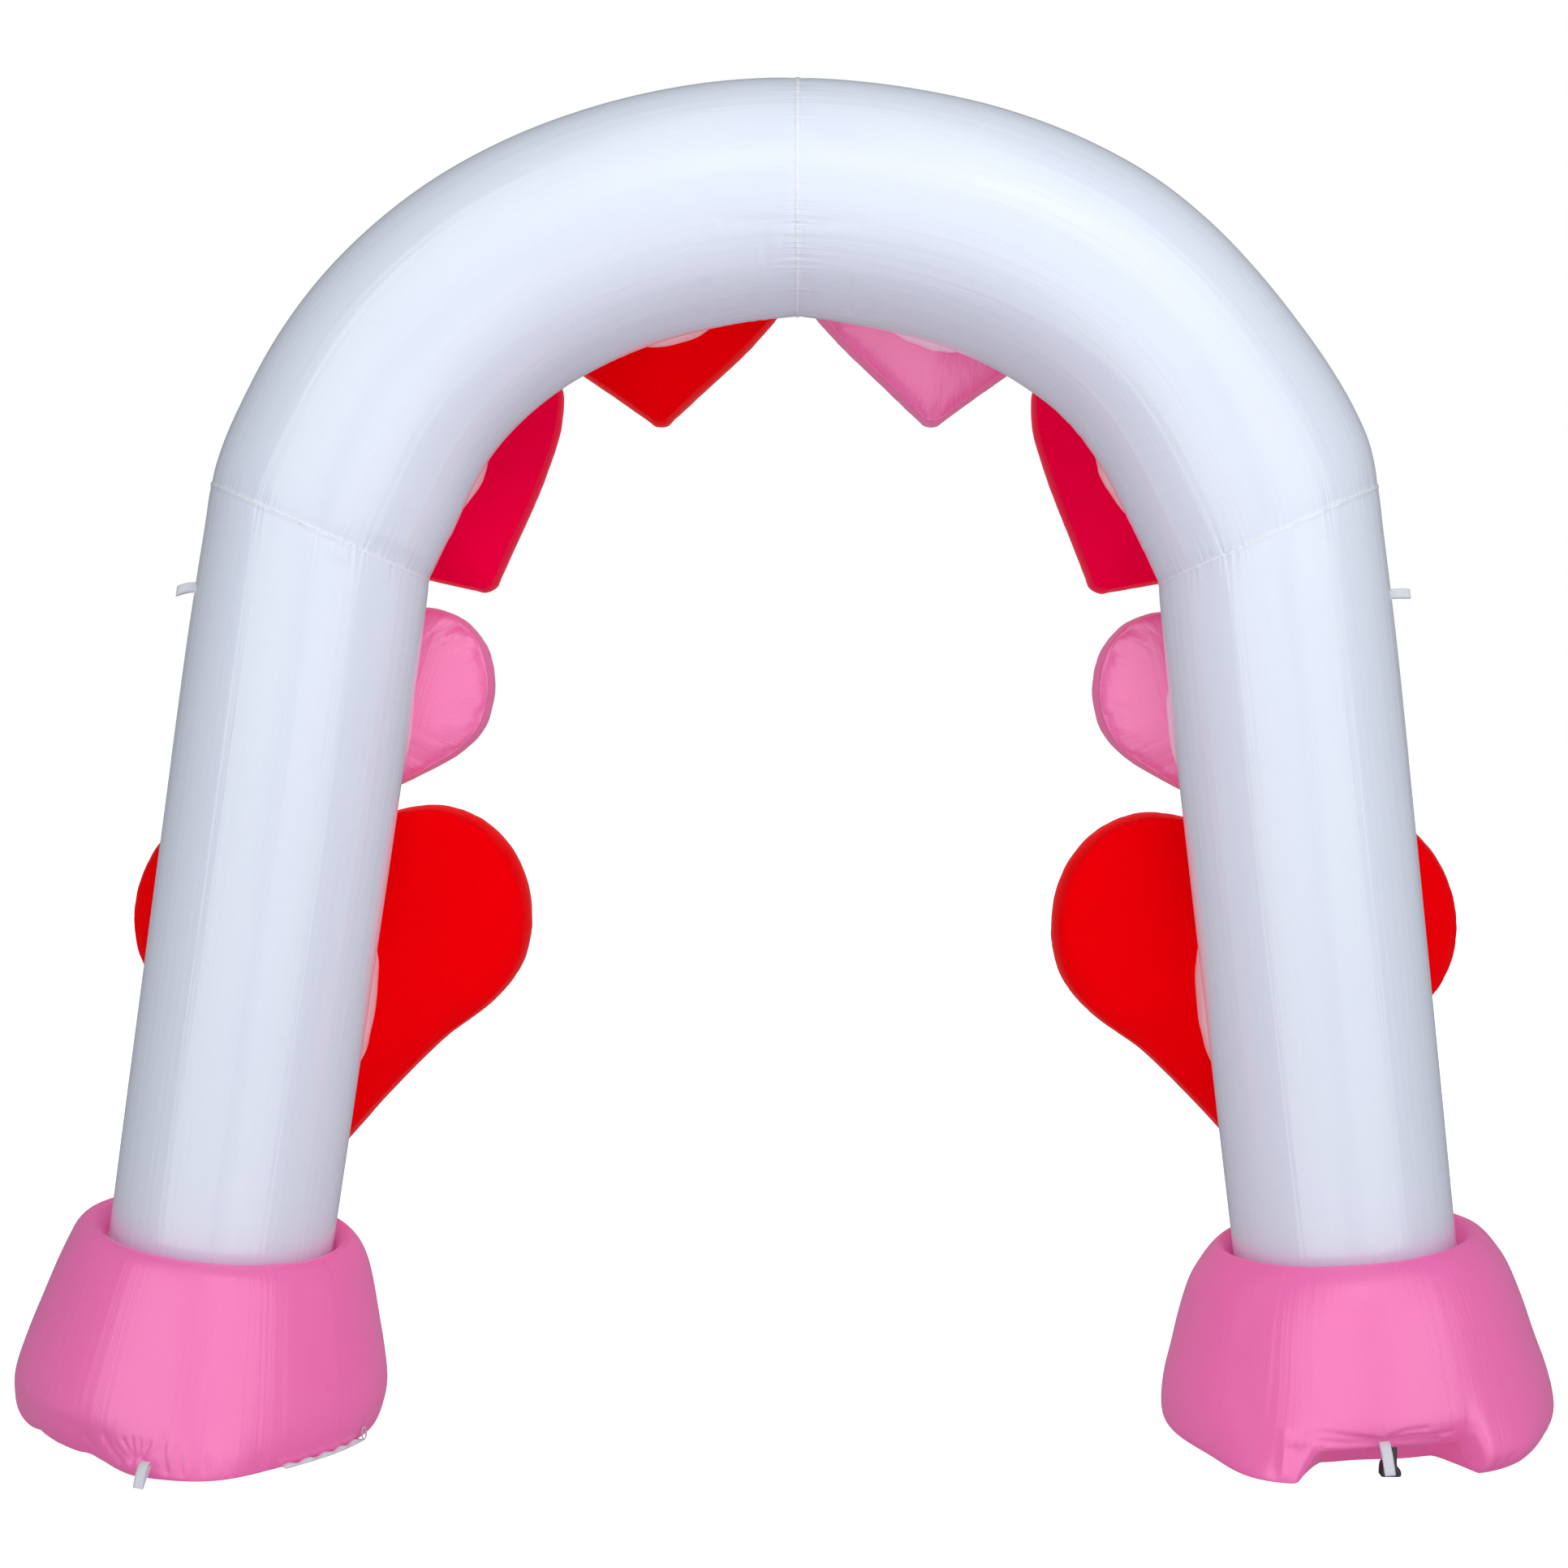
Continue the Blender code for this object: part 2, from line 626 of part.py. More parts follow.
def base_loop(side):
    """The strap on the near lower edge of a base."""
    rings = base_rings(side)
    row = BASE_LOOP_ROW[side]
    index = BASE_LOOP_SIDE[side]
    corners = [rings[row][index], rings[row][index + 1], rings[row + 1][index], rings[row + 1][index + 1]]
    along = BASE_LOOP_SHARE[side]
    root = mix(mix(corners[0], corners[1], along), mix(corners[2], corners[3], along), 0.5)
    width = (corners[1] - corners[0]).normalized()
    rise = (corners[2] - corners[0]).normalized()
    out = width.cross(rise).normalized()
    if out.y > 0.0:
        out = -out
    root += out * (SEAM_GAP + WEBBING_THICKNESS / 2.0)
    return loop_strip(root, out, rise, width, BASE_LOOP_DROOP[side])


def zip_frame(azimuth, row_index):
    """Where a row of the left base lies above the floor, and the way out."""
    point = base_point("left", BASE_ROWS["left"][row_index], azimuth)
    out = Vector((point.x - BASE_FOOT_X["left"], point.y, 0.0)).normalized()
    return Vector((point.x, point.y, 0.0)), out


def zip_section(azimuth):
    """A section of the zip tape, lying along the floor seam."""
    edge, out = zip_frame(azimuth, ZIP_ROW)
    start = edge + out * ZIP_REACH + Vector((0.0, 0.0, SEAM_GAP))
    up = Vector((0.0, 0.0, ZIP_TAPE_HEIGHT))
    return [start, start + out * ZIP_TAPE_WIDTH, start + out * ZIP_TAPE_WIDTH + up, start + up]


def zip_tape_shape():
    """The strip of zip that shows past the lower edge."""
    rings = []
    for step in range(ZIP_STEPS + 1):
        rings.append(zip_section(math.radians(mix(ZIP_FROM, ZIP_TO, step / ZIP_STEPS))))
    ends = [sum(ring, Vector()) / len(ring) for ring in (rings[0], rings[-1])]
    return loft(rings, ends[0], ends[1])


def zip_pull_shape():
    """An oval tab that stands on the end of the tape, against the base."""
    edge, out = zip_frame(math.radians(ZIP_TO - 1.5), PULL_ROW)
    along = Vector((-out.y, out.x, 0.0))
    middle = edge + out * (PULL_REACH + PULL_THICKNESS / 2.0)
    middle.z = ZIP_TAPE_HEIGHT + 2.0 * SEAM_GAP + PULL_LENGTH / 2.0
    rings = []
    for face in (-0.5, 0.5):
        rings.append([middle + out * (PULL_THICKNESS * face) + along * (PULL_WIDTH / 2.0 * math.cos(turn))
                      + Vector((0.0, 0.0, PULL_LENGTH / 2.0 * math.sin(turn)))
                      for turn in ring_angles(PULL_SIDES)])
    half = out * (PULL_THICKNESS / 2.0)
    return loft(rings, middle - half, middle + half)


def blower_foot_shape():
    """The boot-shaped rubber foot that carries the blower's corner."""
    rings = []
    for face, shrink in ((-0.5, 0.8), (-0.4, 1.0), (0.4, 1.0), (0.5, 0.8)):
        rings.append([Vector((FOOT_X + point.x * shrink, FOOT_Y + FOOT_DEPTH * face, point.z))
                      for point in FOOT_OUTLINE])
    middle = Vector((FOOT_X + FOOT_OUTLINE[7].x, FOOT_Y, FOOT_OUTLINE[4].z))
    half = Vector((0.0, FOOT_DEPTH / 2.0, 0.0))
    return loft(rings, middle - half, middle + half)


def centre_on_origin(frame, pieces):
    """Move the arch so that its box stands centred over the origin."""
    bpy.context.view_layer.update()
    corners = [item.matrix_world @ Vector(corner) for item in pieces for corner in item.bound_box]
    low_x = min(corner.x for corner in corners)
    high_x = max(corner.x for corner in corners)
    low_y = min(corner.y for corner in corners)
    high_y = max(corner.y for corner in corners)
    frame.location = (-(low_x + high_x) / 2.0, -(low_y + high_y) / 2.0, 0.0)


def build():
    """Make every piece of the arch."""
    clear_scene()
    arch = make_collection("inflatable_arch")
    cutters = make_collection("cutters")
    frame = bpy.data.objects.new("arch_frame", None)
    arch.objects.link(frame)

    pieces = []
    tube_cutters = {}
    for side in ("left", "right"):
        for part, maker in (("crown", crown_shape), ("leg", leg_shape)):
            name = part + "_" + side
            pieces.append(add_object(name, maker(side), arch, frame, "white taffeta"))
            tube_cutters[name] = add_cutter(name, maker(side), cutters, frame)
        pieces.append(add_object("base_" + side, base_shape(side), arch, frame, "pink taffeta"))
        pieces.append(add_loop("loop_leg_" + side, leg_loop(side), arch, frame))
        pieces.append(add_loop("loop_base_" + side, base_loop(side), arch, frame))

    for heart, place in zip(HEARTS, SLEEVES):
        name = "heart_" + heart.name
        pieces.append(add_object(name, heart_shape(heart), arch, frame, HEART_CLOTH[heart.name]))
        sleeve = add_object("sleeve_" + heart.name, sleeve_shape(place), arch, frame, "white taffeta")
        cut(sleeve, tube_cutters[place.tube])
        cut(sleeve, add_cutter(name, heart_shape(heart), cutters, frame))
        pieces.append(sleeve)

    pieces.append(add_object("zip_tape", zip_tape_shape(), arch, frame, "white zip"))
    pieces.append(add_object("zip_pull", zip_pull_shape(), arch, frame, "clear pull"))
    foot = add_object("blower_foot", blower_foot_shape(), arch, frame, "black rubber")
    cut(foot, add_cutter("base_right", base_shape("right"), cutters, frame))
    pieces.append(foot)
    centre_on_origin(frame, pieces)


build()
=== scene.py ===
import math
from collections import namedtuple

import bmesh
import bpy
from mathutils import Euler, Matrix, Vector, noise


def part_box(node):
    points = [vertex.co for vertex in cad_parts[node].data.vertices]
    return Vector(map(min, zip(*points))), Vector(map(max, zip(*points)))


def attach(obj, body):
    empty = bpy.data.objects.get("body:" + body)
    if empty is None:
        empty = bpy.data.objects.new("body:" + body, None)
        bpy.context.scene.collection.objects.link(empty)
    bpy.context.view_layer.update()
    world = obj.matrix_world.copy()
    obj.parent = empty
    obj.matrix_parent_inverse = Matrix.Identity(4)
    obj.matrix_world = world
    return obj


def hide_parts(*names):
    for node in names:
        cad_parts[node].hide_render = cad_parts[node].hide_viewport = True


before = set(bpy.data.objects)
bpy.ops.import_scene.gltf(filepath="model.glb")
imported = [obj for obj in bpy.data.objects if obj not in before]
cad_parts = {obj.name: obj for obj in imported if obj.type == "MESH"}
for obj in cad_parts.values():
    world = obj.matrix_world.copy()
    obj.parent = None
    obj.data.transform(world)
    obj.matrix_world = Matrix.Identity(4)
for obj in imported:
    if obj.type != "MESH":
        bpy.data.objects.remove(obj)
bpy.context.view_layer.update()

# The arch's own coordinates: X = 0 at the crown seam, Y = 0 in the tube's middle.
SEAM_GAP = 0.0003
CROWN_LOW, CROWN_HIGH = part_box("crown_left")
SHIFT = Vector((CROWN_HIGH[0] + SEAM_GAP / 2.0, (CROWN_LOW[1] + CROWN_HIGH[1]) / 2.0, 0.0))

# The camera stood behind the arch, level, and its frame is shifted a little.
PHOTO_SIDE = 1932
CAMERA_DISTANCE = 4.6
CAMERA_HEIGHT = 1.385
FOCAL_PIXELS = 2787.0
SENSOR = 36.0
AXIS_PIXEL = (983.0, 915.0)

CROWN_CENTRE_Z = 1.385
ELBOW_ANGLE = 23.8
LEG_TOP_DEPTH = 0.2275
SIDE_SIGN = {"left": -1.0, "right": 1.0}

# Sections of each crown half, from the crown seam down to the sloping seam.
CrownRow = namedtuple("CrownRow", "angle axis_radius half_width half_depth")
CROWN_ROWS = {
    "left": [
        CrownRow(90.0, 1.1060, 0.2365, 0.2365),
        CrownRow(84.0, 1.1050, 0.2395, 0.2395),
        CrownRow(78.0, 1.1050, 0.2415, 0.2410),
        CrownRow(71.0, 1.1070, 0.2425, 0.2415),
        CrownRow(64.0, 1.1100, 0.2435, 0.2415),
        CrownRow(57.0, 1.1120, 0.2430, 0.2415),
        CrownRow(50.5, 1.1090, 0.2425, 0.2415),
        CrownRow(44.0, 1.1015, 0.2430, 0.2415),
        CrownRow(38.0, 1.0880, 0.2455, 0.2415),
        CrownRow(32.5, 1.0735, 0.2465, 0.2400),
        CrownRow(28.5, 1.0675, 0.2440, 0.2370),
        CrownRow(26.0, 1.0635, 0.2410, 0.2330),
        CrownRow(ELBOW_ANGLE, 1.0595, 0.2365, LEG_TOP_DEPTH),
    ],
    "right": [
        CrownRow(90.0, 1.1060, 0.2365, 0.2365),
        CrownRow(84.0, 1.1020, 0.2390, 0.2395),
        CrownRow(78.0, 1.1010, 0.2410, 0.2410),
        CrownRow(71.0, 1.1035, 0.2430, 0.2415),
        CrownRow(64.0, 1.1060, 0.2440, 0.2415),
        CrownRow(57.5, 1.1060, 0.2440, 0.2415),
        CrownRow(51.5, 1.1005, 0.2415, 0.2415),
        CrownRow(46.0, 1.0900, 0.2415, 0.2415),
        CrownRow(40.5, 1.0770, 0.2450, 0.2415),
        CrownRow(35.5, 1.0670, 0.2500, 0.2415),
        CrownRow(31.0, 1.0605, 0.2512, 0.2400),
        CrownRow(27.5, 1.0550, 0.2485, 0.2350),
        CrownRow(ELBOW_ANGLE, 1.0440, 0.2385, LEG_TOP_DEPTH),
    ],
}
CROWN_RINGS = 220
CROWN_SIDES = 160

LEG_FOOT = {"left": (-1.172, 0.365), "right": (1.112, 0.343)}
# A leg's radius at shares of its length.
LEG_SHARES = [0.0, 0.10, 0.20, 0.40, 0.60, 0.80, 1.00]
LEG_RADII = [LEG_TOP_DEPTH, 0.2300, 0.2310, 0.2290, 0.2265, 0.2240, 0.2215]
LEG_RINGS = 130
LEG_SIDES = 160

# Level sections of each base, from the floor up to the sunken ring.
BaseRow = namedtuple("BaseRow", "height radius lift")
BASE_ROWS = {
    "left": [
        BaseRow(-0.030, 0.200, 0.0),
        BaseRow(-0.022, 0.285, 0.0),
        BaseRow(-0.006, 0.328, 0.0),
        BaseRow(0.022, 0.353, 0.0),
        BaseRow(0.062, 0.3645, 0.0),
        BaseRow(0.110, 0.3655, 0.0),
        BaseRow(0.178, 0.350, 0.0),
        BaseRow(0.244, 0.331, 0.0),
        BaseRow(0.309, 0.312, 0.0),
        BaseRow(0.358, 0.295, 0.0),
        BaseRow(0.387, 0.281, 0.006),
        BaseRow(0.403, 0.264, 0.012),
        BaseRow(0.401, 0.247, 0.014),
        BaseRow(0.384, 0.232, 0.010),
    ],
    "right": [
        BaseRow(-0.030, 0.210, 0.0),
        BaseRow(-0.022, 0.300, 0.0),
        BaseRow(-0.006, 0.345, 0.0),
        BaseRow(0.018, 0.374, 0.0),
        BaseRow(0.052, 0.386, 0.0),
        BaseRow(0.112, 0.3775, 0.0),
        BaseRow(0.178, 0.3585, 0.0),
        BaseRow(0.244, 0.340, 0.0),
        BaseRow(0.309, 0.317, 0.0),
        BaseRow(0.348, 0.294, -0.004),
        BaseRow(0.372, 0.275, -0.002),
        BaseRow(0.385, 0.258, 0.0),
        BaseRow(0.380, 0.244, 0.004),
        BaseRow(0.361, 0.232, 0.004),
    ],
}
BASE_FOOT_X = {"left": -1.2200, "right": 1.133}
BASE_RINGS = 130
BASE_COLUMNS = 360
# The columns stand closer together on the near side, where the fine creases are.
BASE_CROWDING = 0.5
BASE_GIRTH = 2.2
RING_RADIUS = 0.2225
FLOOR_TILT = math.radians(4.0)
NEAR_TILT = math.radians(1.2)
SPREAD = 0.5
SKIRT_HEIGHT = 0.16
Bump = namedtuple("Bump", "azimuth width push")
BASE_BUMPS = {
    "left": [Bump(-72.0, 17.0, 0.032), Bump(-106.0, 14.0, -0.012)],
    "right": [Bump(-126.0, 17.0, 0.062), Bump(-50.0, 12.0, 0.016)],
}
RaisedHem = namedtuple("RaisedHem", "azimuth half_angle edge rise draw_in")
RAISED_HEM = {
    "left": RaisedHem(-134.0, 14.0, 26.0, 0.024, 0.022),
    "right": RaisedHem(-91.0, 22.0, 6.0, 0.054, 0.030),
}

# One row for each crease, as seen from behind: the piece it is in, how wide and deep it
# is, and the places (across, up) that it runs through. A negative depth stands out.
Crease = namedtuple("Crease", "piece width depth path")
CREASES = [
    Crease("base_left", 0.0055, 0.0030, ((-1.252, 0.034), (-1.283, 0.066))),
    Crease("base_left", 0.0055, 0.0034, ((-1.247, 0.040), (-1.266, 0.076))),
    Crease("base_left", 0.0050, 0.0030, ((-1.242, 0.042), (-1.249, 0.080))),
    Crease("base_left", 0.0050, 0.0030, ((-1.236, 0.042), (-1.232, 0.078))),
    Crease("base_left", 0.0055, 0.0034, ((-1.231, 0.040), (-1.214, 0.074))),
    Crease("base_left", 0.0055, 0.0026, ((-1.227, 0.034), (-1.200, 0.060))),
    Crease("base_left", 0.0060, 0.0032, ((-1.182, 0.022), (-1.187, 0.060), (-1.184, 0.084))),
    Crease("base_left", 0.0060, 0.0030, ((-1.152, 0.016), (-1.157, 0.064))),
    Crease("base_left", 0.0070, 0.0034, ((-1.275, 0.034), (-1.299, 0.062), (-1.306, 0.080))),
    Crease("base_left", 0.0060, 0.0024, ((-1.330, 0.046), (-1.350, 0.070))),
    Crease("base_left", 0.0060, 0.0020, ((-1.105, 0.016), (-1.110, 0.042))),
    Crease("base_left", 0.0080, -0.0050, ((-0.846, 0.392), (-0.838, 0.330), (-0.824, 0.220))),
    Crease("base_right", 0.0060, 0.0050, ((1.094, 0.078), (1.043, 0.083), (0.996, 0.089), (0.960, 0.088))),
    Crease("base_right", 0.0060, 0.0046, ((1.094, 0.068), (1.032, 0.068), (0.973, 0.072), (0.922, 0.075))),
    Crease("base_right", 0.0050, 0.0030, ((1.094, 0.073), (1.030, 0.076), (0.950, 0.080))),
    Crease("base_right", 0.0060, 0.0050, ((1.108, 0.076), (1.149, 0.083), (1.196, 0.083), (1.228, 0.086))),
    Crease("base_right", 0.0060, 0.0040, ((1.108, 0.068), (1.160, 0.074), (1.205, 0.072))),
    Crease("base_right", 0.0055, 0.0030, ((1.103, 0.082), (1.140, 0.096), (1.180, 0.100))),
    Crease("base_right", 0.0065, -0.0050, ((0.917, 0.074), (0.911, 0.036), (0.905, 0.004))),
    Crease("base_right", 0.0060, 0.0030, ((0.928, 0.076), (0.980, 0.060))),
    Crease("base_right", 0.0060, 0.0030, ((1.335, 0.010), (1.352, 0.036))),
    Crease("base_right", 0.0060, 0.0026, ((1.318, 0.008), (1.322, 0.030))),
    Crease("crown_left", 0.0060, 0.0022, ((-0.193, 2.200), (-0.188, 2.286))),
    Crease("crown_left", 0.0060, 0.0022, ((-0.083, 2.204), (-0.085, 2.270))),
    Crease("crown_left", 0.0070, 0.0014, ((-0.150, 2.394), (-0.060, 2.397), (0.000, 2.396))),
    Crease("crown_right", 0.0070, 0.0014, ((0.000, 2.396), (0.060, 2.395), (0.120, 2.393))),
    Crease("crown_right", 0.0060, 0.0020, ((0.027, 2.204), (0.029, 2.272))),
    Crease("crown_right", 0.0060, 0.0022, ((0.105, 2.200), (0.103, 2.290))),
    Crease("crown_right", 0.0060, 0.0020, ((0.150, 2.196), (0.146, 2.262))),
]
# Soft grey marks by the left elbow, where the inner seam shows through: place, reach and strength.
Mark = namedtuple("Mark", "piece across up length width strength")
MARKS = [
    Mark("crown_left", -0.800, 1.772, 0.050, 0.012, 0.75),
    Mark("leg_left", -0.893, 1.741, 0.020, 0.010, 0.55),
]
MARK_TILT = math.radians(-25.4)

# Heart outlines in half-widths, from the tip up one side to the cleft.
Node = namedtuple("Node", "across up heading arrive leave steps")
SMALL_HEART = [
    Node(0.00, 0.035, 0.0, 0.00, 0.045, 2),
    Node(0.09, 0.080, 41.0, 0.04, 0.66, 5),
    Node(1.00, 1.100, 90.0, 0.36, 0.36, 5),
    Node(0.50, 1.700, 180.0, 0.28, 0.28, 4),
    Node(0.00, 1.400, 250.0, 0.15, 0.00, 0),
]
LARGE_HEART = [
    Node(0.00, 0.030, 0.0, 0.00, 0.035, 2),
    Node(0.07, 0.085, 49.0, 0.04, 0.29, 4),
    Node(0.60, 0.650, 39.0, 0.17, 0.17, 4),
    Node(1.00, 1.220, 90.0, 0.33, 0.33, 5),
    Node(0.50, 1.800, 180.0, 0.28, 0.28, 4),
    Node(0.00, 1.480, 252.0, 0.16, 0.00, 0),
]
HEART_MIDDLE = 0.90
HEART_FINENESS = 13
FACE_STEPS = 16
BAND_STEPS = 10
# The hearts' cloth is cut a little large, pumped up, and held in the middle of its faces.
AIR_FRAMES = 18
AIR_PRESSURE = 4.0
AIR_SPARE_CLOTH = 0.03
AIR_HELD_SIZE = 0.5
PUCKER_SPAN = 12
PUCKER_LIMIT = 0.003
# How much of the puckers is kept on the faces and on the side band.
FACE_PUCKERS = 1.00
BAND_PUCKERS = 0.20
# They fade out over this distance from the seam.
PUCKER_REACH = 0.055
# The seams of face and band lie this share of the outline from the middle.
SEAM_SIZE = 0.97

Heart = namedtuple("Heart", "name outline tip_x tip_z tilt half_width plane_y band dome")
HEARTS = [
    Heart("low_left", LARGE_HEART, -1.025, 0.469, 0.6, 0.434, 0.380, 0.060, 0.074),
    Heart("low_right", LARGE_HEART, 1.013, 0.438, -1.3, 0.443, 0.380, 0.060, 0.074),
    Heart("mid_left", SMALL_HEART, -1.074, 1.203, 16.0, 0.316, 0.364, 0.052, 0.056),
    Heart("mid_right", SMALL_HEART, 1.049, 1.180, -14.0, 0.318, 0.364, 0.052, 0.056),
    Heart("high_left", SMALL_HEART, -0.667, 1.707, -27.0, 0.346, 0.368, 0.052, 0.058),
    Heart("high_right", SMALL_HEART, 0.646, 1.705, 29.5, 0.346, 0.368, 0.052, 0.058),
    Heart("top_left", SMALL_HEART, -0.298, 2.066, -3.9, 0.318, 0.368, 0.052, 0.058),
    Heart("top_right", SMALL_HEART, 0.291, 2.068, 3.9, 0.318, 0.368, 0.052, 0.058),
]
HEART_CLOTH = {
    "low_left": "red_taffeta",
    "low_right": "red_taffeta",
    "mid_left": "rose_taffeta",
    "mid_right": "rose_taffeta",
    "high_left": "crimson_taffeta",
    "high_right": "crimson_taffeta",
    "top_left": "red_taffeta",
    "top_right": "rose_taffeta",
}

# One row for each air sleeve, in the order of the hearts: the tube it leaves,
# its middle, how far its longer way leans towards +X, and half that length.
Sleeve = namedtuple("Sleeve", "tube x z lean half_length")
SLEEVES = [
    Sleeve("leg_left", -1.026, 0.843, 7.9, 0.200),
    Sleeve("leg_right", 0.978, 0.840, -6.4, 0.200),
    Sleeve("leg_left", -0.950, 1.432, 7.9, 0.165),
    Sleeve("leg_right", 0.916, 1.434, -6.4, 0.165),
    Sleeve("crown_left", -0.803, 1.975, 37.0, 0.142),
    Sleeve("crown_right", 0.779, 1.976, -38.0, 0.142),
    Sleeve("crown_left", -0.286, 2.360, 73.6, 0.130),
    Sleeve("crown_right", 0.306, 2.350, -72.4, 0.130),
]
SLEEVE_HALF_WIDTH = 0.130
# The section is an oval with squared shoulders: 2 would be a plain ellipse.
SLEEVE_SQUARENESS = 2.6
SleeveRing = namedtuple("SleeveRing", "y share")
SLEEVE_RINGS = [
    SleeveRing(0.060, 0.94),
    SleeveRing(0.110, 0.98),
    SleeveRing(0.165, 1.00),
    SleeveRing(0.215, 0.99),
    SleeveRing(0.262, 0.92),
    SleeveRing(0.300, 0.82),
]
SLEEVE_SIDES = 96
SLEEVE_STEPS = 36

WEBBING_WIDTH = 0.020
WEBBING_THICKNESS = 0.0014
LOOP_LENGTH = 0.046
# The loop's side view: how far out, as a share, and half its spread.
LoopPoint = namedtuple("LoopPoint", "out spread")
LOOP_SIDE = [
    LoopPoint(0.00, 0.0036),
    LoopPoint(0.22, 0.0078),
    LoopPoint(0.50, 0.0100),
    LoopPoint(0.78, 0.0088),
    LoopPoint(0.94, 0.0048),
]
LEG_LOOP_Z = {"left": 1.668, "right": 1.662}
LEG_LOOP_DROOP = {"left": 0.014, "right": 0.004}
BASE_LOOP_ROW = {"left": 3, "right": 3}
BASE_LOOP_SIDE = {"left": 29, "right": 28}
BASE_LOOP_SHARE = {"left": 0.40, "right": 0.95}
BASE_LOOP_DROOP = {"left": 0.020, "right": 0.023}
BASE_LOOP_LEAN = {"left": 0.20, "right": 0.0}
BASE_SIDES = 40

ZIP_FROM = -50.0
ZIP_TO = -17.0
ZIP_ROW = 3
ZIP_REACH = 0.0012
ZIP_TAPE_WIDTH = 0.016
ZIP_TAPE_HEIGHT = 0.0022
PULL_ROW = 4
PULL_REACH = 0.0060
PULL_TURN = math.radians(55.0)
PULL_WIDTH = 0.011
PULL_LENGTH = 0.028
PULL_THICKNESS = 0.0022

FOOT_X = 1.119
FOOT_Y = -0.325
FOOT_DEPTH = 0.026
FootPoint = namedtuple("FootPoint", "x z")
FOOT_OUTLINE = [
    FootPoint(-0.019, 0.006),
    FootPoint(-0.015, 0.0),
    FootPoint(0.014, 0.0),
    FootPoint(0.019, 0.005),
    FootPoint(0.017, 0.014),
    FootPoint(0.011, 0.022),
    FootPoint(0.010, 0.058),
    FootPoint(-0.003, 0.058),
    FootPoint(-0.004, 0.030),
    FootPoint(-0.016, 0.026),
]


# The material of each slot, once it is made.
CLOTHS = {}


def mix(start, end, share):
    """Blend two numbers or vectors."""
    return start + (end - start) * share


def smooth_step(value):
    """Ease from 0 to 1."""
    value = min(max(value, 0.0), 1.0)
    return value * value * (3.0 - 2.0 * value)


def spline(values, position):
    """A smooth curve through values, at a position counted in values."""
    last = len(values) - 1
    index = min(max(int(position), 0), last - 1)
    share = position - index
    before = values[max(index - 1, 0)]
    start = values[index]
    end = values[index + 1]
    after = values[min(index + 2, last)]
    cubic = start * 3.0 - end * 3.0 + after - before
    square = before * 2.0 - start * 5.0 + end * 4.0 - after
    return start + (end - before + (square + cubic * share) * share) * share * 0.5


def spline_at(places, values, place):
    """A smooth curve through values that stand at uneven places."""
    for index in range(len(places) - 1):
        if place <= places[index + 1]:
            share = (place - places[index]) / (places[index + 1] - places[index])
            return spline(values, index + share)
    return values[-1]


def crowded(count, crowding=0.75):
    """Shares from 0 to 1 that crowd towards both ends."""
    shares = []
    for step in range(count + 1):
        share = step / count
        shares.append(share - crowding * math.sin(2.0 * math.pi * share) / (2.0 * math.pi))
    return shares


def turns(count):
    """Angles round a section."""
    return [2.0 * math.pi * step / count for step in range(count)]


def wobble(*place):
    """Smooth noise between -1 and 1."""
    return noise.noise(Vector(place))


def add_surface(name, rings, weave, slot, offsets=None, marks=None, caps=(None, None)):
    """Skin rings of points, then push each point out along its normal.

    weave holds each point's place in the cloth in metres, and marks its
    distance to the nearest seam and its place along that seam.
    """
    shape = bmesh.new()
    loops = [[shape.verts.new(point + SHIFT) for point in ring] for ring in rings]
    count = len(loops[0])
    weave_layer = shape.loops.layers.uv.new("weave")
    for row, (lower, upper) in enumerate(zip(loops, loops[1:])):
        for index in range(count):
            after = (index + 1) % count
            face = shape.faces.new((lower[index], lower[after], upper[after], upper[index]))
            face.smooth = True
            corners = ((row, index), (row, index + 1), (row + 1, index + 1), (row + 1, index))
            for loop, (corner_row, corner_index) in zip(face.loops, corners):
                loop[weave_layer].uv = weave(corner_row, corner_index)
    for loop_row, cap, row in ((loops[0], caps[0], 0), (loops[-1], caps[1], len(loops) - 1)):
        if cap is None:
            continue
        tip = shape.verts.new(cap + SHIFT)
        for index in range(count):
            face = shape.faces.new((loop_row[index], loop_row[(index + 1) % count], tip))
            face.smooth = True
            for loop in face.loops:
                loop[weave_layer].uv = weave(row, index)
    bmesh.ops.recalc_face_normals(shape, faces=shape.faces)
    shape.normal_update()
    if offsets is not None:
        pushes = [(vert, vert.normal.copy(), offsets(row, index))
                  for row, loop_row in enumerate(loops) for index, vert in enumerate(loop_row)]
        for vert, normal, push in pushes:
            vert.co += normal * push
    mesh = bpy.data.meshes.new(name)
    shape.to_mesh(mesh)
    shape.free()
    if marks is not None:
        layer = mesh.attributes.new("seam", "FLOAT_VECTOR", "POINT")
        values = [0.0] * (3 * len(mesh.vertices))
        position = 0
        for row in range(len(rings)):
            for index in range(count):
                values[position:position + 3] = marks(row, index)
                position += 3
        layer.data.foreach_set("vector", values)
    mesh.materials.append(CLOTHS[slot])
    item = bpy.data.objects.new(name, mesh)
    bpy.context.scene.collection.objects.link(item)
    return item


# The seams to be stitched: for each cloth, closed runs of points just above it.
SEAM_RUNS = {}
STITCH_SPACING = 0.0048
STITCH_LENGTH = 0.0036
STITCH_RADIUS = 0.00035
STITCH_LIFT = 0.0004
STITCH_SIDES = 5
STITCHED_ROW = 3


def note_seam(item, slot, row, count):
    """Keep one ring of a surface, lifted off the cloth, for its stitches."""
    ring = item.data.vertices[row * count:(row + 1) * count]
    SEAM_RUNS.setdefault(slot, []).append([vertex.co + vertex.normal * STITCH_LIFT for vertex in ring])


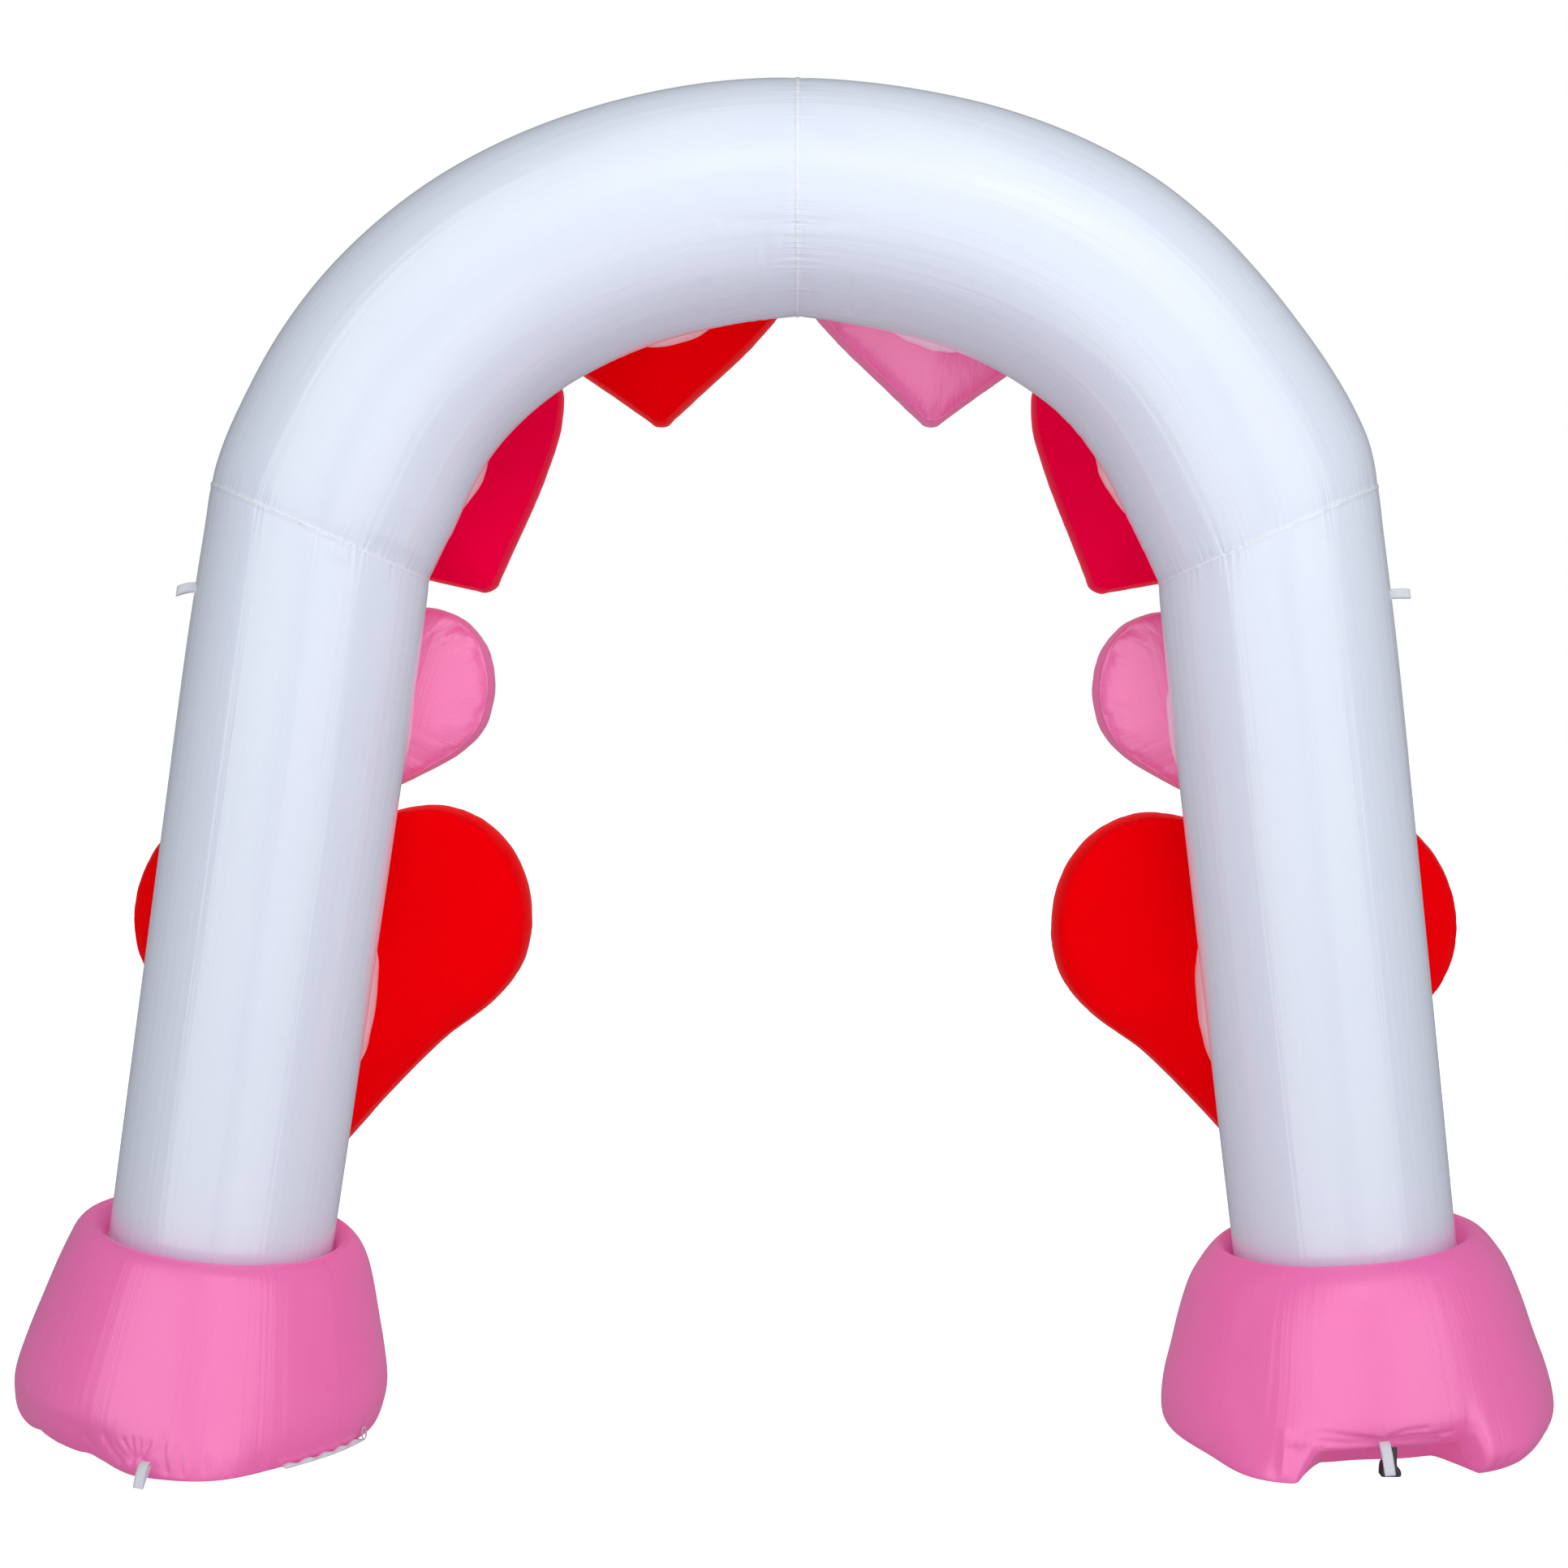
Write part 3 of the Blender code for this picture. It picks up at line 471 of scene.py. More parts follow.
def stitch_tree():
    """Geometry nodes: one short thread after another along every edge run."""
    tree = bpy.data.node_groups.new("stitches", "GeometryNodeTree")
    tree.interface.new_socket(name="Geometry", in_out="INPUT", socket_type="NodeSocketGeometry")
    for label, value in (("Spacing", STITCH_SPACING), ("Length", STITCH_LENGTH), ("Radius", STITCH_RADIUS)):
        socket = tree.interface.new_socket(name=label, in_out="INPUT", socket_type="NodeSocketFloat")
        socket.default_value = value
    tree.interface.new_socket(name="Cloth", in_out="INPUT", socket_type="NodeSocketMaterial")
    tree.interface.new_socket(name="Geometry", in_out="OUTPUT", socket_type="NodeSocketGeometry")
    source = add_node(tree, "NodeGroupInput")
    target = add_node(tree, "NodeGroupOutput")
    run = add_node(tree, "GeometryNodeMeshToCurve")
    tree.links.new(source.outputs["Geometry"], run.inputs["Mesh"])
    spaced = add_node(tree, "GeometryNodeResampleCurve")
    spaced.mode = "LENGTH"
    tree.links.new(run.outputs["Curve"], spaced.inputs["Curve"])
    tree.links.new(source.outputs["Spacing"], spaced.inputs["Length"])
    thread = add_node(tree, "GeometryNodeMeshCylinder")
    thread.inputs["Vertices"].default_value = STITCH_SIDES
    tree.links.new(source.outputs["Radius"], thread.inputs["Radius"])
    tree.links.new(source.outputs["Length"], thread.inputs["Depth"])
    tangent = add_node(tree, "GeometryNodeInputTangent")
    aim = add_node(tree, "FunctionNodeAlignRotationToVector", axis="Z")
    tree.links.new(tangent.outputs["Tangent"], aim.inputs["Vector"])
    placed = add_node(tree, "GeometryNodeInstanceOnPoints")
    tree.links.new(spaced.outputs["Curve"], placed.inputs["Points"])
    tree.links.new(thread.outputs["Mesh"], placed.inputs["Instance"])
    tree.links.new(aim.outputs["Rotation"], placed.inputs["Rotation"])
    real = add_node(tree, "GeometryNodeRealizeInstances")
    tree.links.new(placed.outputs["Instances"], real.inputs["Geometry"])
    dyed = add_node(tree, "GeometryNodeSetMaterial")
    tree.links.new(real.outputs["Geometry"], dyed.inputs["Geometry"])
    tree.links.new(source.outputs["Cloth"], dyed.inputs["Material"])
    tree.links.new(dyed.outputs["Geometry"], target.inputs["Geometry"])
    return tree


def stitch_piece(name, slot, tree, runs):
    """All stitches of one cloth, as one object."""
    points = [point for run in runs for point in run]
    edges = []
    first = 0
    for run in runs:
        edges += [(first + index, first + (index + 1) % len(run)) for index in range(len(run))]
        first += len(run)
    mesh = bpy.data.meshes.new(name)
    mesh.from_pydata(points, edges, [])
    path = bpy.data.objects.new(name + "_path", mesh)
    bpy.context.scene.collection.objects.link(path)
    sewing = path.modifiers.new("sewing", "NODES")
    sewing.node_group = tree
    for socket in tree.interface.items_tree:
        if socket.name == "Cloth":
            sewing[socket.identifier] = CLOTHS[slot]
    sewn = path.evaluated_get(bpy.context.evaluated_depsgraph_get())
    item = bpy.data.objects.new(name, bpy.data.meshes.new_from_object(sewn))
    item.data.shade_smooth()
    bpy.context.scene.collection.objects.link(item)
    bpy.data.objects.remove(path)
    bpy.data.meshes.remove(mesh)
    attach(item, "root")


def crease_push(piece, point):
    """How far the creases of a piece press a point in. They lie on its near side."""
    if point.y > -0.05:
        return 0.0
    here = Vector((point.x, point.z))
    push = 0.0
    for crease in CREASES:
        if crease.piece != piece:
            continue
        reach = 4.0 * crease.width
        nearest = reach
        for start, end in zip(crease.path, crease.path[1:]):
            first = Vector(start)
            run = Vector(end) - first
            if abs(here.x - first.x) > run.length + reach or abs(here.y - first.y) > run.length + reach:
                continue
            share = min(max((here - first).dot(run) / run.length_squared, 0.0), 1.0)
            nearest = min(nearest, (here - first - run * share).length)
        if nearest < reach:
            push -= crease.depth * math.exp(-(nearest / crease.width) ** 2)
    return push


def mark_strength(piece, point):
    """How grey a point is where something shows through the cloth."""
    strength = 0.0
    for mark in MARKS:
        if mark.piece != piece or point.y > 0.0:
            continue
        across = point.x - mark.across
        up = point.z - mark.up
        along = across * math.cos(MARK_TILT) + up * math.sin(MARK_TILT)
        aside = up * math.cos(MARK_TILT) - across * math.sin(MARK_TILT)
        strength += mark.strength * math.exp(-(along / mark.length) ** 4 - (aside / mark.width) ** 2)
    return strength


def crown_frame(side, angle):
    """Outward and downward directions of the crown at an angle."""
    turn = math.radians(angle)
    outward = Vector((SIDE_SIGN[side] * math.cos(turn), 0.0, math.sin(turn)))
    downward = Vector((SIDE_SIGN[side] * math.sin(turn), 0.0, -math.cos(turn)))
    return outward, downward


def leg_axis(side):
    """Top and foot of a leg's axis, its direction and its outward direction."""
    outward, _ = crown_frame(side, ELBOW_ANGLE)
    top = Vector((0.0, 0.0, CROWN_CENTRE_Z)) + outward * CROWN_ROWS[side][-1].axis_radius
    foot_x, foot_z = LEG_FOOT[side]
    foot = Vector((foot_x, 0.0, foot_z))
    along = (foot - top).normalized()
    out = Vector((-along.z * SIDE_SIGN[side], 0.0, along.x * SIDE_SIGN[side]))
    return top, foot, along, out


def seam_profile(distance, around, seed):
    """How the cloth lies near a sewn join: a fine ridge in a shallow, puckered dip."""
    dip = -0.0012 * math.exp(-(distance / 0.016) ** 2)
    ridge = 0.0022 * math.exp(-(distance / 0.0040) ** 2)
    pucker = 0.0011 * math.exp(-distance / 0.035) * wobble(around * 46.0, distance * 9.0, seed)
    return dip + ridge + pucker


def crown_piece(side):
    """One bent half of the crown."""
    rows = CROWN_ROWS[side]
    last = len(rows) - 1
    shares = crowded(CROWN_RINGS)
    angles = [row.angle for row in rows]
    radii = [row.axis_radius for row in rows]
    widths = [row.half_width for row in rows]
    depths = [row.half_depth for row in rows]
    centre = Vector((0.0, 0.0, CROWN_CENTRE_Z))
    around = turns(CROWN_SIDES)
    rings = []
    travel = []
    for share in shares:
        position = share * last
        angle = spline(angles, position)
        outward, downward = crown_frame(side, angle)
        middle = centre + outward * spline(radii, position)
        middle += downward * mix(SEAM_GAP / 2.0, -SEAM_GAP, share)
        across = outward * spline(widths, position)
        along_y = Vector((0.0, spline(depths, position), 0.0))
        rings.append([middle + across * math.cos(turn) + along_y * math.sin(turn) for turn in around])
        travel.append(math.radians(90.0 - angle) * 1.10)
    length = travel[-1]
    seed = 3.0 * SIDE_SIGN[side]

    def offsets(row, index):
        turn = around[index]
        seam = min(travel[row], length - travel[row])
        girth = turn * 0.24
        push = seam_profile(seam, girth, seed)
        push += 0.0016 * wobble(math.cos(turn) * 1.3 + seed, math.sin(turn) * 1.3, travel[row] * 3.0)
        inner = smooth_step((-math.cos(turn) - 0.30) / 0.5)
        patch = smooth_step(wobble(travel[row] * 7.0 + seed, turn * 1.5, 4.0) * 2.0)
        crease = wobble(travel[row] * 62.0, turn * 1.8, seed)
        push += 0.0013 * inner * patch * crease
        return push + crease_push("crown_" + side, rings[row][index])

    def weave(row, index):
        return (index / CROWN_SIDES * 1.52, travel[row])

    def marks(row, index):
        grey = mark_strength("crown_" + side, rings[row][index])
        return (min(travel[row], length - travel[row]), index / CROWN_SIDES * 1.52, grey)

    item = add_surface("crown_" + side + "_cloth", rings, weave, "white_taffeta", offsets, marks,
                       (sum(rings[0], Vector()) / CROWN_SIDES, sum(rings[-1], Vector()) / CROWN_SIDES))
    for row in (STITCHED_ROW, CROWN_RINGS - STITCHED_ROW):
        note_seam(item, "white_taffeta", row, CROWN_SIDES)
    return item


def leg_piece(side):
    """One straight leg, cut at a slope at its top."""
    top, foot, along, out = leg_axis(side)
    _, seam_normal = crown_frame(side, ELBOW_ANGLE)
    length = (foot - top).length
    shares = crowded(LEG_RINGS)
    around = turns(LEG_SIDES)
    start = []
    for turn in around:
        rim = out * (LEG_TOP_DEPTH * math.cos(turn)) + Vector((0.0, LEG_TOP_DEPTH * math.sin(turn), 0.0))
        start.append(-rim.dot(seam_normal) / along.dot(seam_normal))
    rings = []
    reach = []
    for share in shares:
        ring = []
        places = []
        for turn, slide in zip(around, start):
            place = mix(slide, length, share)
            radius = spline_at(LEG_SHARES, LEG_RADII, min(max(place / length, 0.0), 1.0))
            ring.append(top + along * place + out * (radius * math.cos(turn))
                        + Vector((0.0, radius * math.sin(turn), 0.0)))
            places.append(place)
        rings.append(ring)
        reach.append(places)
    seed = 11.0 + SIDE_SIGN[side]

    def seam_distance(row, index):
        index %= LEG_SIDES
        return min(reach[row][index] - start[index], length - reach[row][index])

    def offsets(row, index):
        turn = around[index]
        girth = turn * 0.23
        push = seam_profile(seam_distance(row, index), girth, seed)
        push += 0.0014 * wobble(math.cos(turn) * 1.6 + seed, math.sin(turn) * 1.6, reach[row][index] * 1.6)
        return push

    def weave(row, index):
        return (index / LEG_SIDES * 1.44, reach[row][index % LEG_SIDES])

    def marks(row, index):
        grey = mark_strength("leg_" + side, rings[row][index])
        return (seam_distance(row, index), index / LEG_SIDES * 1.44, grey)

    item = add_surface("leg_" + side + "_cloth", rings, weave, "white_taffeta", offsets, marks, (top, foot))
    note_seam(item, "white_taffeta", LEG_RINGS - STITCHED_ROW, LEG_SIDES)
    return item


def hem_share(hem, azimuth, height):
    """How fully the raised hem acts at a place on the base."""
    away = abs((math.degrees(azimuth) - hem.azimuth + 180.0) % 360.0 - 180.0)
    across = 1.0 - smooth_step((away - hem.half_angle) / hem.edge)
    return across * (1.0 - smooth_step(height / SKIRT_HEIGHT))


def bump_push(side, azimuth, height):
    """How far the lower edge swells outwards."""
    push = 0.0
    for bump in BASE_BUMPS[side]:
        away = (math.degrees(azimuth) - bump.azimuth + 180.0) % 360.0 - 180.0
        push += bump.push * math.exp(-(away / bump.width) ** 2)
    return push * (1.0 - smooth_step(max(height, 0.0) / SKIRT_HEIGHT))


def base_point(side, row, azimuth):
    """A point of a base: tipped with the leg, then settled on the floor."""
    _, foot, along, _ = leg_axis(side)
    share = min(max(row.height / foot.z, 0.0), 1.0)
    lean = abs(along.x / along.z)
    slope = mix(math.tan(FLOOR_TILT), lean, share)
    near_slope = math.tan(NEAR_TILT) * (1.0 - share)
    radius = row.radius + bump_push(side, azimuth, row.height)
    outer = SIDE_SIGN[side] * math.cos(azimuth)
    far = math.sin(azimuth)
    height = row.height + radius * outer * slope + radius * far * near_slope + row.lift * far
    radius += max(-height, 0.0) * SPREAD
    height = max(height, 0.0)
    hem = RAISED_HEM[side]
    held_up = hem_share(hem, azimuth, row.height)
    if held_up > 0.0 and row.radius > BASE_ROWS[side][0].radius:
        height += hem.rise * held_up
        radius -= hem.draw_in * held_up
    middle_x = mix(BASE_FOOT_X[side], foot.x, share)
    return Vector((middle_x + radius * math.cos(azimuth), radius * far, height))


def base_column(side, azimuth):
    """Points of a base at one azimuth, from the floor up to the sunken ring."""
    _, foot, along, _ = leg_axis(side)
    column = [base_point(side, row, azimuth) for row in BASE_ROWS[side]]
    lean = SIDE_SIGN[side] * abs(along.x / along.z)
    across = RING_RADIUS * math.cos(azimuth)
    column.append(Vector((foot.x + across, RING_RADIUS * math.sin(azimuth),
                          foot.z - SEAM_GAP + across * lean)))
    return column


def base_piece(side):
    """One puffed base with its gathers and folds."""
    around = [turn - BASE_CROWDING * math.cos(turn) for turn in turns(BASE_COLUMNS)]
    girths = [turn / (2.0 * math.pi) * BASE_GIRTH for turn in around + [around[0] + 2.0 * math.pi]]
    columns = [base_column(side, turn) for turn in around]
    last = len(columns[0]) - 1
    rings = []
    for share in crowded(BASE_RINGS, 0.35):
        ring = [spline(column, share * last) for column in columns]
        for point in ring:
            point.z = max(point.z, 0.0)
        rings.append(ring)
    travel = []
    for index in range(BASE_COLUMNS):
        run = [0.0]
        for lower, upper in zip(rings, rings[1:]):
            run.append(run[-1] + (upper[index] - lower[index]).length)
        travel.append(run)
    seed = 21.0 + SIDE_SIGN[side]

    def offsets(row, index):
        point = rings[row][index]
        if point.z < 0.004:
            return 0.0
        turn = around[index]
        top = travel[index][-1] - travel[index][row]
        girth = turn * 0.36
        floor_fade = smooth_step(point.z / 0.02)
        push = 0.0020 * wobble(math.cos(turn) * 2.2 + seed, math.sin(turn) * 2.2, point.z * 5.0)
        gather = math.exp(-point.z / 0.05)
        push += 0.0016 * gather * wobble(girth * 44.0, point.z * 12.0, seed)
        push += 0.0012 * math.exp(-top / 0.03) * wobble(girth * 52.0, top * 10.0, seed + 2.0)
        return (push + crease_push("base_" + side, point)) * floor_fade

    def weave(row, index):
        return (girths[index], travel[index % BASE_COLUMNS][row])

    def marks(row, index):
        return (travel[index][-1] - travel[index][row], girths[index], 0.0)

    floor_middle = Vector((BASE_FOOT_X[side], 0.0, 0.0))
    top_middle = sum(rings[-1], Vector()) / BASE_COLUMNS
    return add_surface("base_" + side + "_cloth", rings, weave, "pink_taffeta", offsets, marks,
                       (floor_middle, top_middle))


def bezier(start, leaving, arriving, end, share):
    """A point of a cubic curve."""
    rest = 1.0 - share
    return (start * rest ** 3 + leaving * 3.0 * rest ** 2 * share
            + arriving * 3.0 * rest * share ** 2 + end * share ** 3)


def heading_of(node):
    """The direction in which the outline passes a node."""
    turn = math.radians(node.heading)
    return Vector((math.cos(turn), math.sin(turn)))


def heart_outline(nodes, fineness):
    """Closed outline of a heart in half-widths, mirrored about its axis."""
    side = []
    for node, after in zip(nodes, nodes[1:]):
        start = Vector((node.across, node.up))
        end = Vector((after.across, after.up))
        leaving = start + heading_of(node) * node.leave
        arriving = end - heading_of(after) * after.arrive
        steps = node.steps * fineness
        side += [bezier(start, leaving, arriving, end, step / steps) for step in range(steps)]
    cleft = Vector((nodes[-1].across, nodes[-1].up))
    other_side = [Vector((-point.x, point.y)) for point in reversed(side[1:])]
    return side + [cleft] + other_side


def heart_place(heart, across, up, depth):
    """Place a point of a heart's own plane in the arch."""
    tilt = math.radians(heart.tilt)
    across *= heart.half_width
    up *= heart.half_width
    return Vector((heart.tip_x + across * math.cos(tilt) + up * math.sin(tilt),
                   heart.plane_y + depth,
                   heart.tip_z - across * math.sin(tilt) + up * math.cos(tilt)))


def heart_levels(heart):
    """Sizes and depths of a heart's rings, from the back to the front."""
    face = []
    for step in range(1, FACE_STEPS + 1):
        share = math.sin(0.5 * math.pi * step / FACE_STEPS)
        rise = (1.0 - share ** 2.1) ** 0.66
        face.append((share * SEAM_SIZE, heart.band + heart.dome * rise))
    band = []
    for step in range(1, BAND_STEPS):
        share = 2.0 * step / BAND_STEPS - 1.0
        band.append((mix(1.0, SEAM_SIZE, abs(share) ** 2.2), heart.band * share))
    back = [(size, -depth) for size, depth in face]
    return back + band + list(reversed(face))


def pumped_skin(rings, middles, sizes):
    """Pump air into a sewn skin and give how far each point moves out."""
    count = len(rings[0])
    points = [point for ring in rings for point in ring] + list(middles)
    last = (len(rings) - 1) * count
    faces = []
    for index in range(count):
        after = (index + 1) % count
        for start in range(0, last, count):
            faces.append((start + index, start + after, start + count + after, start + count + index))
        faces.append((after, index, len(points) - 2))
        faces.append((last + index, last + after, len(points) - 1))
    mesh = bpy.data.meshes.new("pumped_skin")
    mesh.from_pydata(points, [], faces)
    mesh.update()
    normals = [vertex.normal.copy() for vertex in mesh.vertices]
    item = bpy.data.objects.new("pumped_skin", mesh)
    bpy.context.scene.collection.objects.link(item)
    held = item.vertex_groups.new(name="held")
    still = []
    for row, size in enumerate(sizes):
        if size < AIR_HELD_SIZE:
            still += range(row * count, (row + 1) * count)
    held.add(still + [len(points) - 2, len(points) - 1], 1.0, "REPLACE")
    cloth = item.modifiers.new("air", "CLOTH")
    cloth.settings.quality = 4
    cloth.settings.mass = 0.02
    cloth.settings.tension_stiffness = 60.0
    cloth.settings.compression_stiffness = 60.0
    cloth.settings.shear_stiffness = 18.0
    cloth.settings.bending_stiffness = 0.02
    cloth.settings.use_pressure = True
    cloth.settings.uniform_pressure_force = AIR_PRESSURE
    cloth.settings.effector_weights.gravity = 0.0
    cloth.settings.vertex_group_mass = "held"
    cloth.settings.shrink_min = -AIR_SPARE_CLOTH
    cloth.point_cache.frame_start = 1
    cloth.point_cache.frame_end = AIR_FRAMES
    for number in range(1, AIR_FRAMES + 1):
        bpy.context.scene.frame_set(number)
    pumped = item.evaluated_get(bpy.context.evaluated_depsgraph_get())
    moves = [(vertex.co - point).dot(normal)
             for vertex, point, normal in zip(pumped.data.vertices, points, normals)]
    bpy.data.objects.remove(item)
    bpy.data.meshes.remove(mesh)
    bpy.context.scene.frame_set(1)
    return [moves[row * count:(row + 1) * count] for row in range(len(rings))]


def puckers_only(moves):
    """Keep the puckers of a pumped skin: what differs from its neighbours along the seam."""
    puckers = []
    for row in moves:
        count = len(row)
        total = sum(row[index] for index in range(-PUCKER_SPAN, PUCKER_SPAN + 1))
        kept = []
        for index in range(count):
            push = row[index] - total / (2 * PUCKER_SPAN + 1)
            kept.append(PUCKER_LIMIT * math.tanh(push / PUCKER_LIMIT))
            total += row[(index + PUCKER_SPAN + 1) % count] - row[index - PUCKER_SPAN]
        puckers.append(kept)
    return puckers


PUMPED_HEARTS = {}


def heart_puckers(heart, outline, levels):
    """The puckers of a heart's pattern. Each pattern is pumped up once."""
    pattern = heart.band
    if pattern not in PUMPED_HEARTS:
        size = heart.half_width
        rings = [[Vector((point.x * share * size, depth, point.y * share * size)) for point in outline]
                 for share, depth in levels]
        crown = heart.band + heart.dome
        middles = (Vector((0.0, -crown, 0.0)), Vector((0.0, crown, 0.0)))
        moves = pumped_skin(rings, middles, [share for share, _ in levels])
        PUMPED_HEARTS[pattern] = puckers_only(moves)
    return PUMPED_HEARTS[pattern]


def heart_piece(heart):
    """A blown-up heart: two domed faces and a side band."""
    middle = Vector((0.0, HEART_MIDDLE))
    outline = [point - middle for point in heart_outline(heart.outline, HEART_FINENESS)]
    levels = heart_levels(heart)
    rings = [[heart_place(heart, point.x * size, HEART_MIDDLE + point.y * size, depth) for point in outline]
             for size, depth in levels]
    run = [0.0]
    for start, end in zip(outline, outline[1:] + outline[:1]):
        run.append(run[-1] + (end - start).length * heart.half_width)
    seam_rows = (FACE_STEPS - 1, len(levels) - FACE_STEPS)
    seed = heart.tip_x * 7.0 + heart.tip_z
    mirrored = heart.tip_x > 0.0
    pumped = heart_puckers(heart, outline, levels)

    def seam_distance(row, index):
        index %= len(outline)
        here = rings[row][index]
        return min((rings[seam_row][index] - here).length for seam_row in seam_rows)

    def offsets(row, index):
        distance = seam_distance(row, index)
        along = run[index]
        push = -0.0014 * math.exp(-(distance / 0.012) ** 2)
        push += 0.0022 * math.exp(-(distance / 0.0035) ** 2)
        push += 0.0012 * math.exp(-distance / 0.045) * wobble(along * 42.0, distance * 6.0, seed)
        push += 0.0030 * wobble(rings[row][index].x * 5.0, rings[row][index].z * 5.0, seed)
        share = FACE_PUCKERS * math.exp(-distance / PUCKER_REACH)
        if seam_rows[0] <= row <= seam_rows[1]:
            share = BAND_PUCKERS
        return push + share * pumped[row][-index if mirrored else index]

    def weave(row, index):
        point = outline[index % len(outline)] * (levels[row][0] * heart.half_width)
        if seam_rows[0] < row < seam_rows[1]:
            return (run[index], levels[row][1])
        return (point.x, point.y)

    def marks(row, index):
        return (seam_distance(row, index), run[index], 0.0)

    crown = heart.band + heart.dome
    cloth = HEART_CLOTH[heart.name]
    middles = [heart_place(heart, 0.0, HEART_MIDDLE, depth) for depth in (-crown, crown)]
    item = add_surface("heart_" + heart.name + "_cloth", rings, weave, cloth, offsets, marks, middles)
    for row in seam_rows:
        note_seam(item, cloth, row, len(outline))
    return item


def oval_point(turn, half_width, half_length):
    """A point of an oval with squared shoulders."""
    power = 2.0 / SLEEVE_SQUARENESS
    across = math.copysign(abs(math.cos(turn)) ** power, math.cos(turn))
    along = math.copysign(abs(math.sin(turn)) ** power, math.sin(turn))
    return across * half_width, along * half_length


def sleeve_piece(name, sleeve):
    """The air sleeve between the tube and a heart."""
    lean = math.radians(sleeve.lean)
    last = len(SLEEVE_RINGS) - 1
    depths = [ring.y for ring in SLEEVE_RINGS]
    sizes = [ring.share for ring in SLEEVE_RINGS]
    around = turns(SLEEVE_SIDES)
    rings = []
    for step in range(SLEEVE_STEPS + 1):
        position = step / SLEEVE_STEPS * last
        depth = spline(depths, position)
        size = spline(sizes, position)
        ring = []
        for turn in around:
            across, along = oval_point(turn, SLEEVE_HALF_WIDTH * size, sleeve.half_length * size)
            ring.append(Vector((sleeve.x + across * math.cos(lean) + along * math.sin(lean), depth,
                                sleeve.z - across * math.sin(lean) + along * math.cos(lean))))
        rings.append(ring)
    seed = sleeve.z * 5.0

    def offsets(row, index):
        turn = around[index]
        return 0.0022 * wobble(math.cos(turn) * 5.0, math.sin(turn) * 5.0, row * 0.10 + seed)

    def weave(row, index):
        return (index / SLEEVE_SIDES * 0.95, row / SLEEVE_STEPS * 0.26)

    return add_surface("sleeve_" + name + "_cloth", rings, weave, "white_taffeta", offsets, None,
                       (Vector((sleeve.x, depths[0], sleeve.z)), Vector((sleeve.x, depths[-1], sleeve.z))))


def strap(name, root, out, spread, width, droop):
    """A folded webbing loop as one woven strap with a real thickness."""
    side = [(point.out, point.spread) for point in LOOP_SIDE]
    coarse = []
    for reach, half in side + [(1.0, 0.0)] + [(reach, -half) for reach, half in reversed(side)]:
        point = root + out * (reach * LOOP_LENGTH) + spread * half
        point.z -= droop * reach * reach
        coarse.append(point)
    steps = 60
    path = [spline(coarse, step / steps * (len(coarse) - 1)) for step in range(steps + 1)]
    rings = []
    run = [0.0]
    for index, point in enumerate(path):
        ahead = path[min(index + 1, steps)] - path[max(index - 1, 0)]
        face = ahead.cross(width).normalized()
        if index:
            run.append(run[-1] + (point - path[index - 1]).length)
        section = []
        for corner_across, corner_face in ((-0.5, -0.5), (-0.25, -0.55), (0.0, -0.55), (0.25, -0.55), (0.5, -0.5),
                                           (0.5, 0.5), (0.25, 0.55), (0.0, 0.55), (-0.25, 0.55), (-0.5, 0.5)):
            section.append(point + width * (WEBBING_WIDTH * corner_across)
                           + face * (WEBBING_THICKNESS * corner_face))
        rings.append(section)
    across = (0.0, 0.005, 0.010, 0.015, 0.020, 0.0214, 0.0264, 0.0314, 0.0364, 0.0414)

    def weave(row, index):
        return (across[index % len(across)], run[row])

    item = add_surface(name, rings, weave, "white_webbing", None, None, (path[0], path[-1]))
    return item, run[-1]


def leg_loop(side):
    """The strap on the outer side of a leg."""
    top, foot, along, out = leg_axis(side)
    share = (top.z - LEG_LOOP_Z[side]) / (top.z - foot.z)
    flat = spline_at(LEG_SHARES, LEG_RADII, share)
    root = top + (foot - top) * share + out * flat
    spread = Vector((0.0, 1.0, 0.0))
    return strap("loop_leg_" + side + "_webbing", root, out, spread, along, LEG_LOOP_DROOP[side])


def base_loop(side):
    """The strap on the near lower edge of a base."""
    row = BASE_LOOP_ROW[side]
    index = BASE_LOOP_SIDE[side]
    corners = []
    for level in (row, row + 1):
        for step in (index + 0.5, index + 1.5):
            corners.append(base_point(side, BASE_ROWS[side][level], 2.0 * math.pi * step / BASE_SIDES))
    along = BASE_LOOP_SHARE[side]
    root = mix(mix(corners[0], corners[1], along), mix(corners[2], corners[3], along), 0.5)
    width = (corners[1] - corners[0]).normalized()
    rise = (corners[2] - corners[0]).normalized()
    out = width.cross(rise).normalized()
    if out.y > 0.0:
        out = -out
    out = (out + Vector((BASE_LOOP_LEAN[side], 0.0, 0.0))).normalized()
    root += out * (SEAM_GAP + WEBBING_THICKNESS / 2.0)
    return strap("loop_base_" + side + "_webbing", root, out, rise, width, BASE_LOOP_DROOP[side])


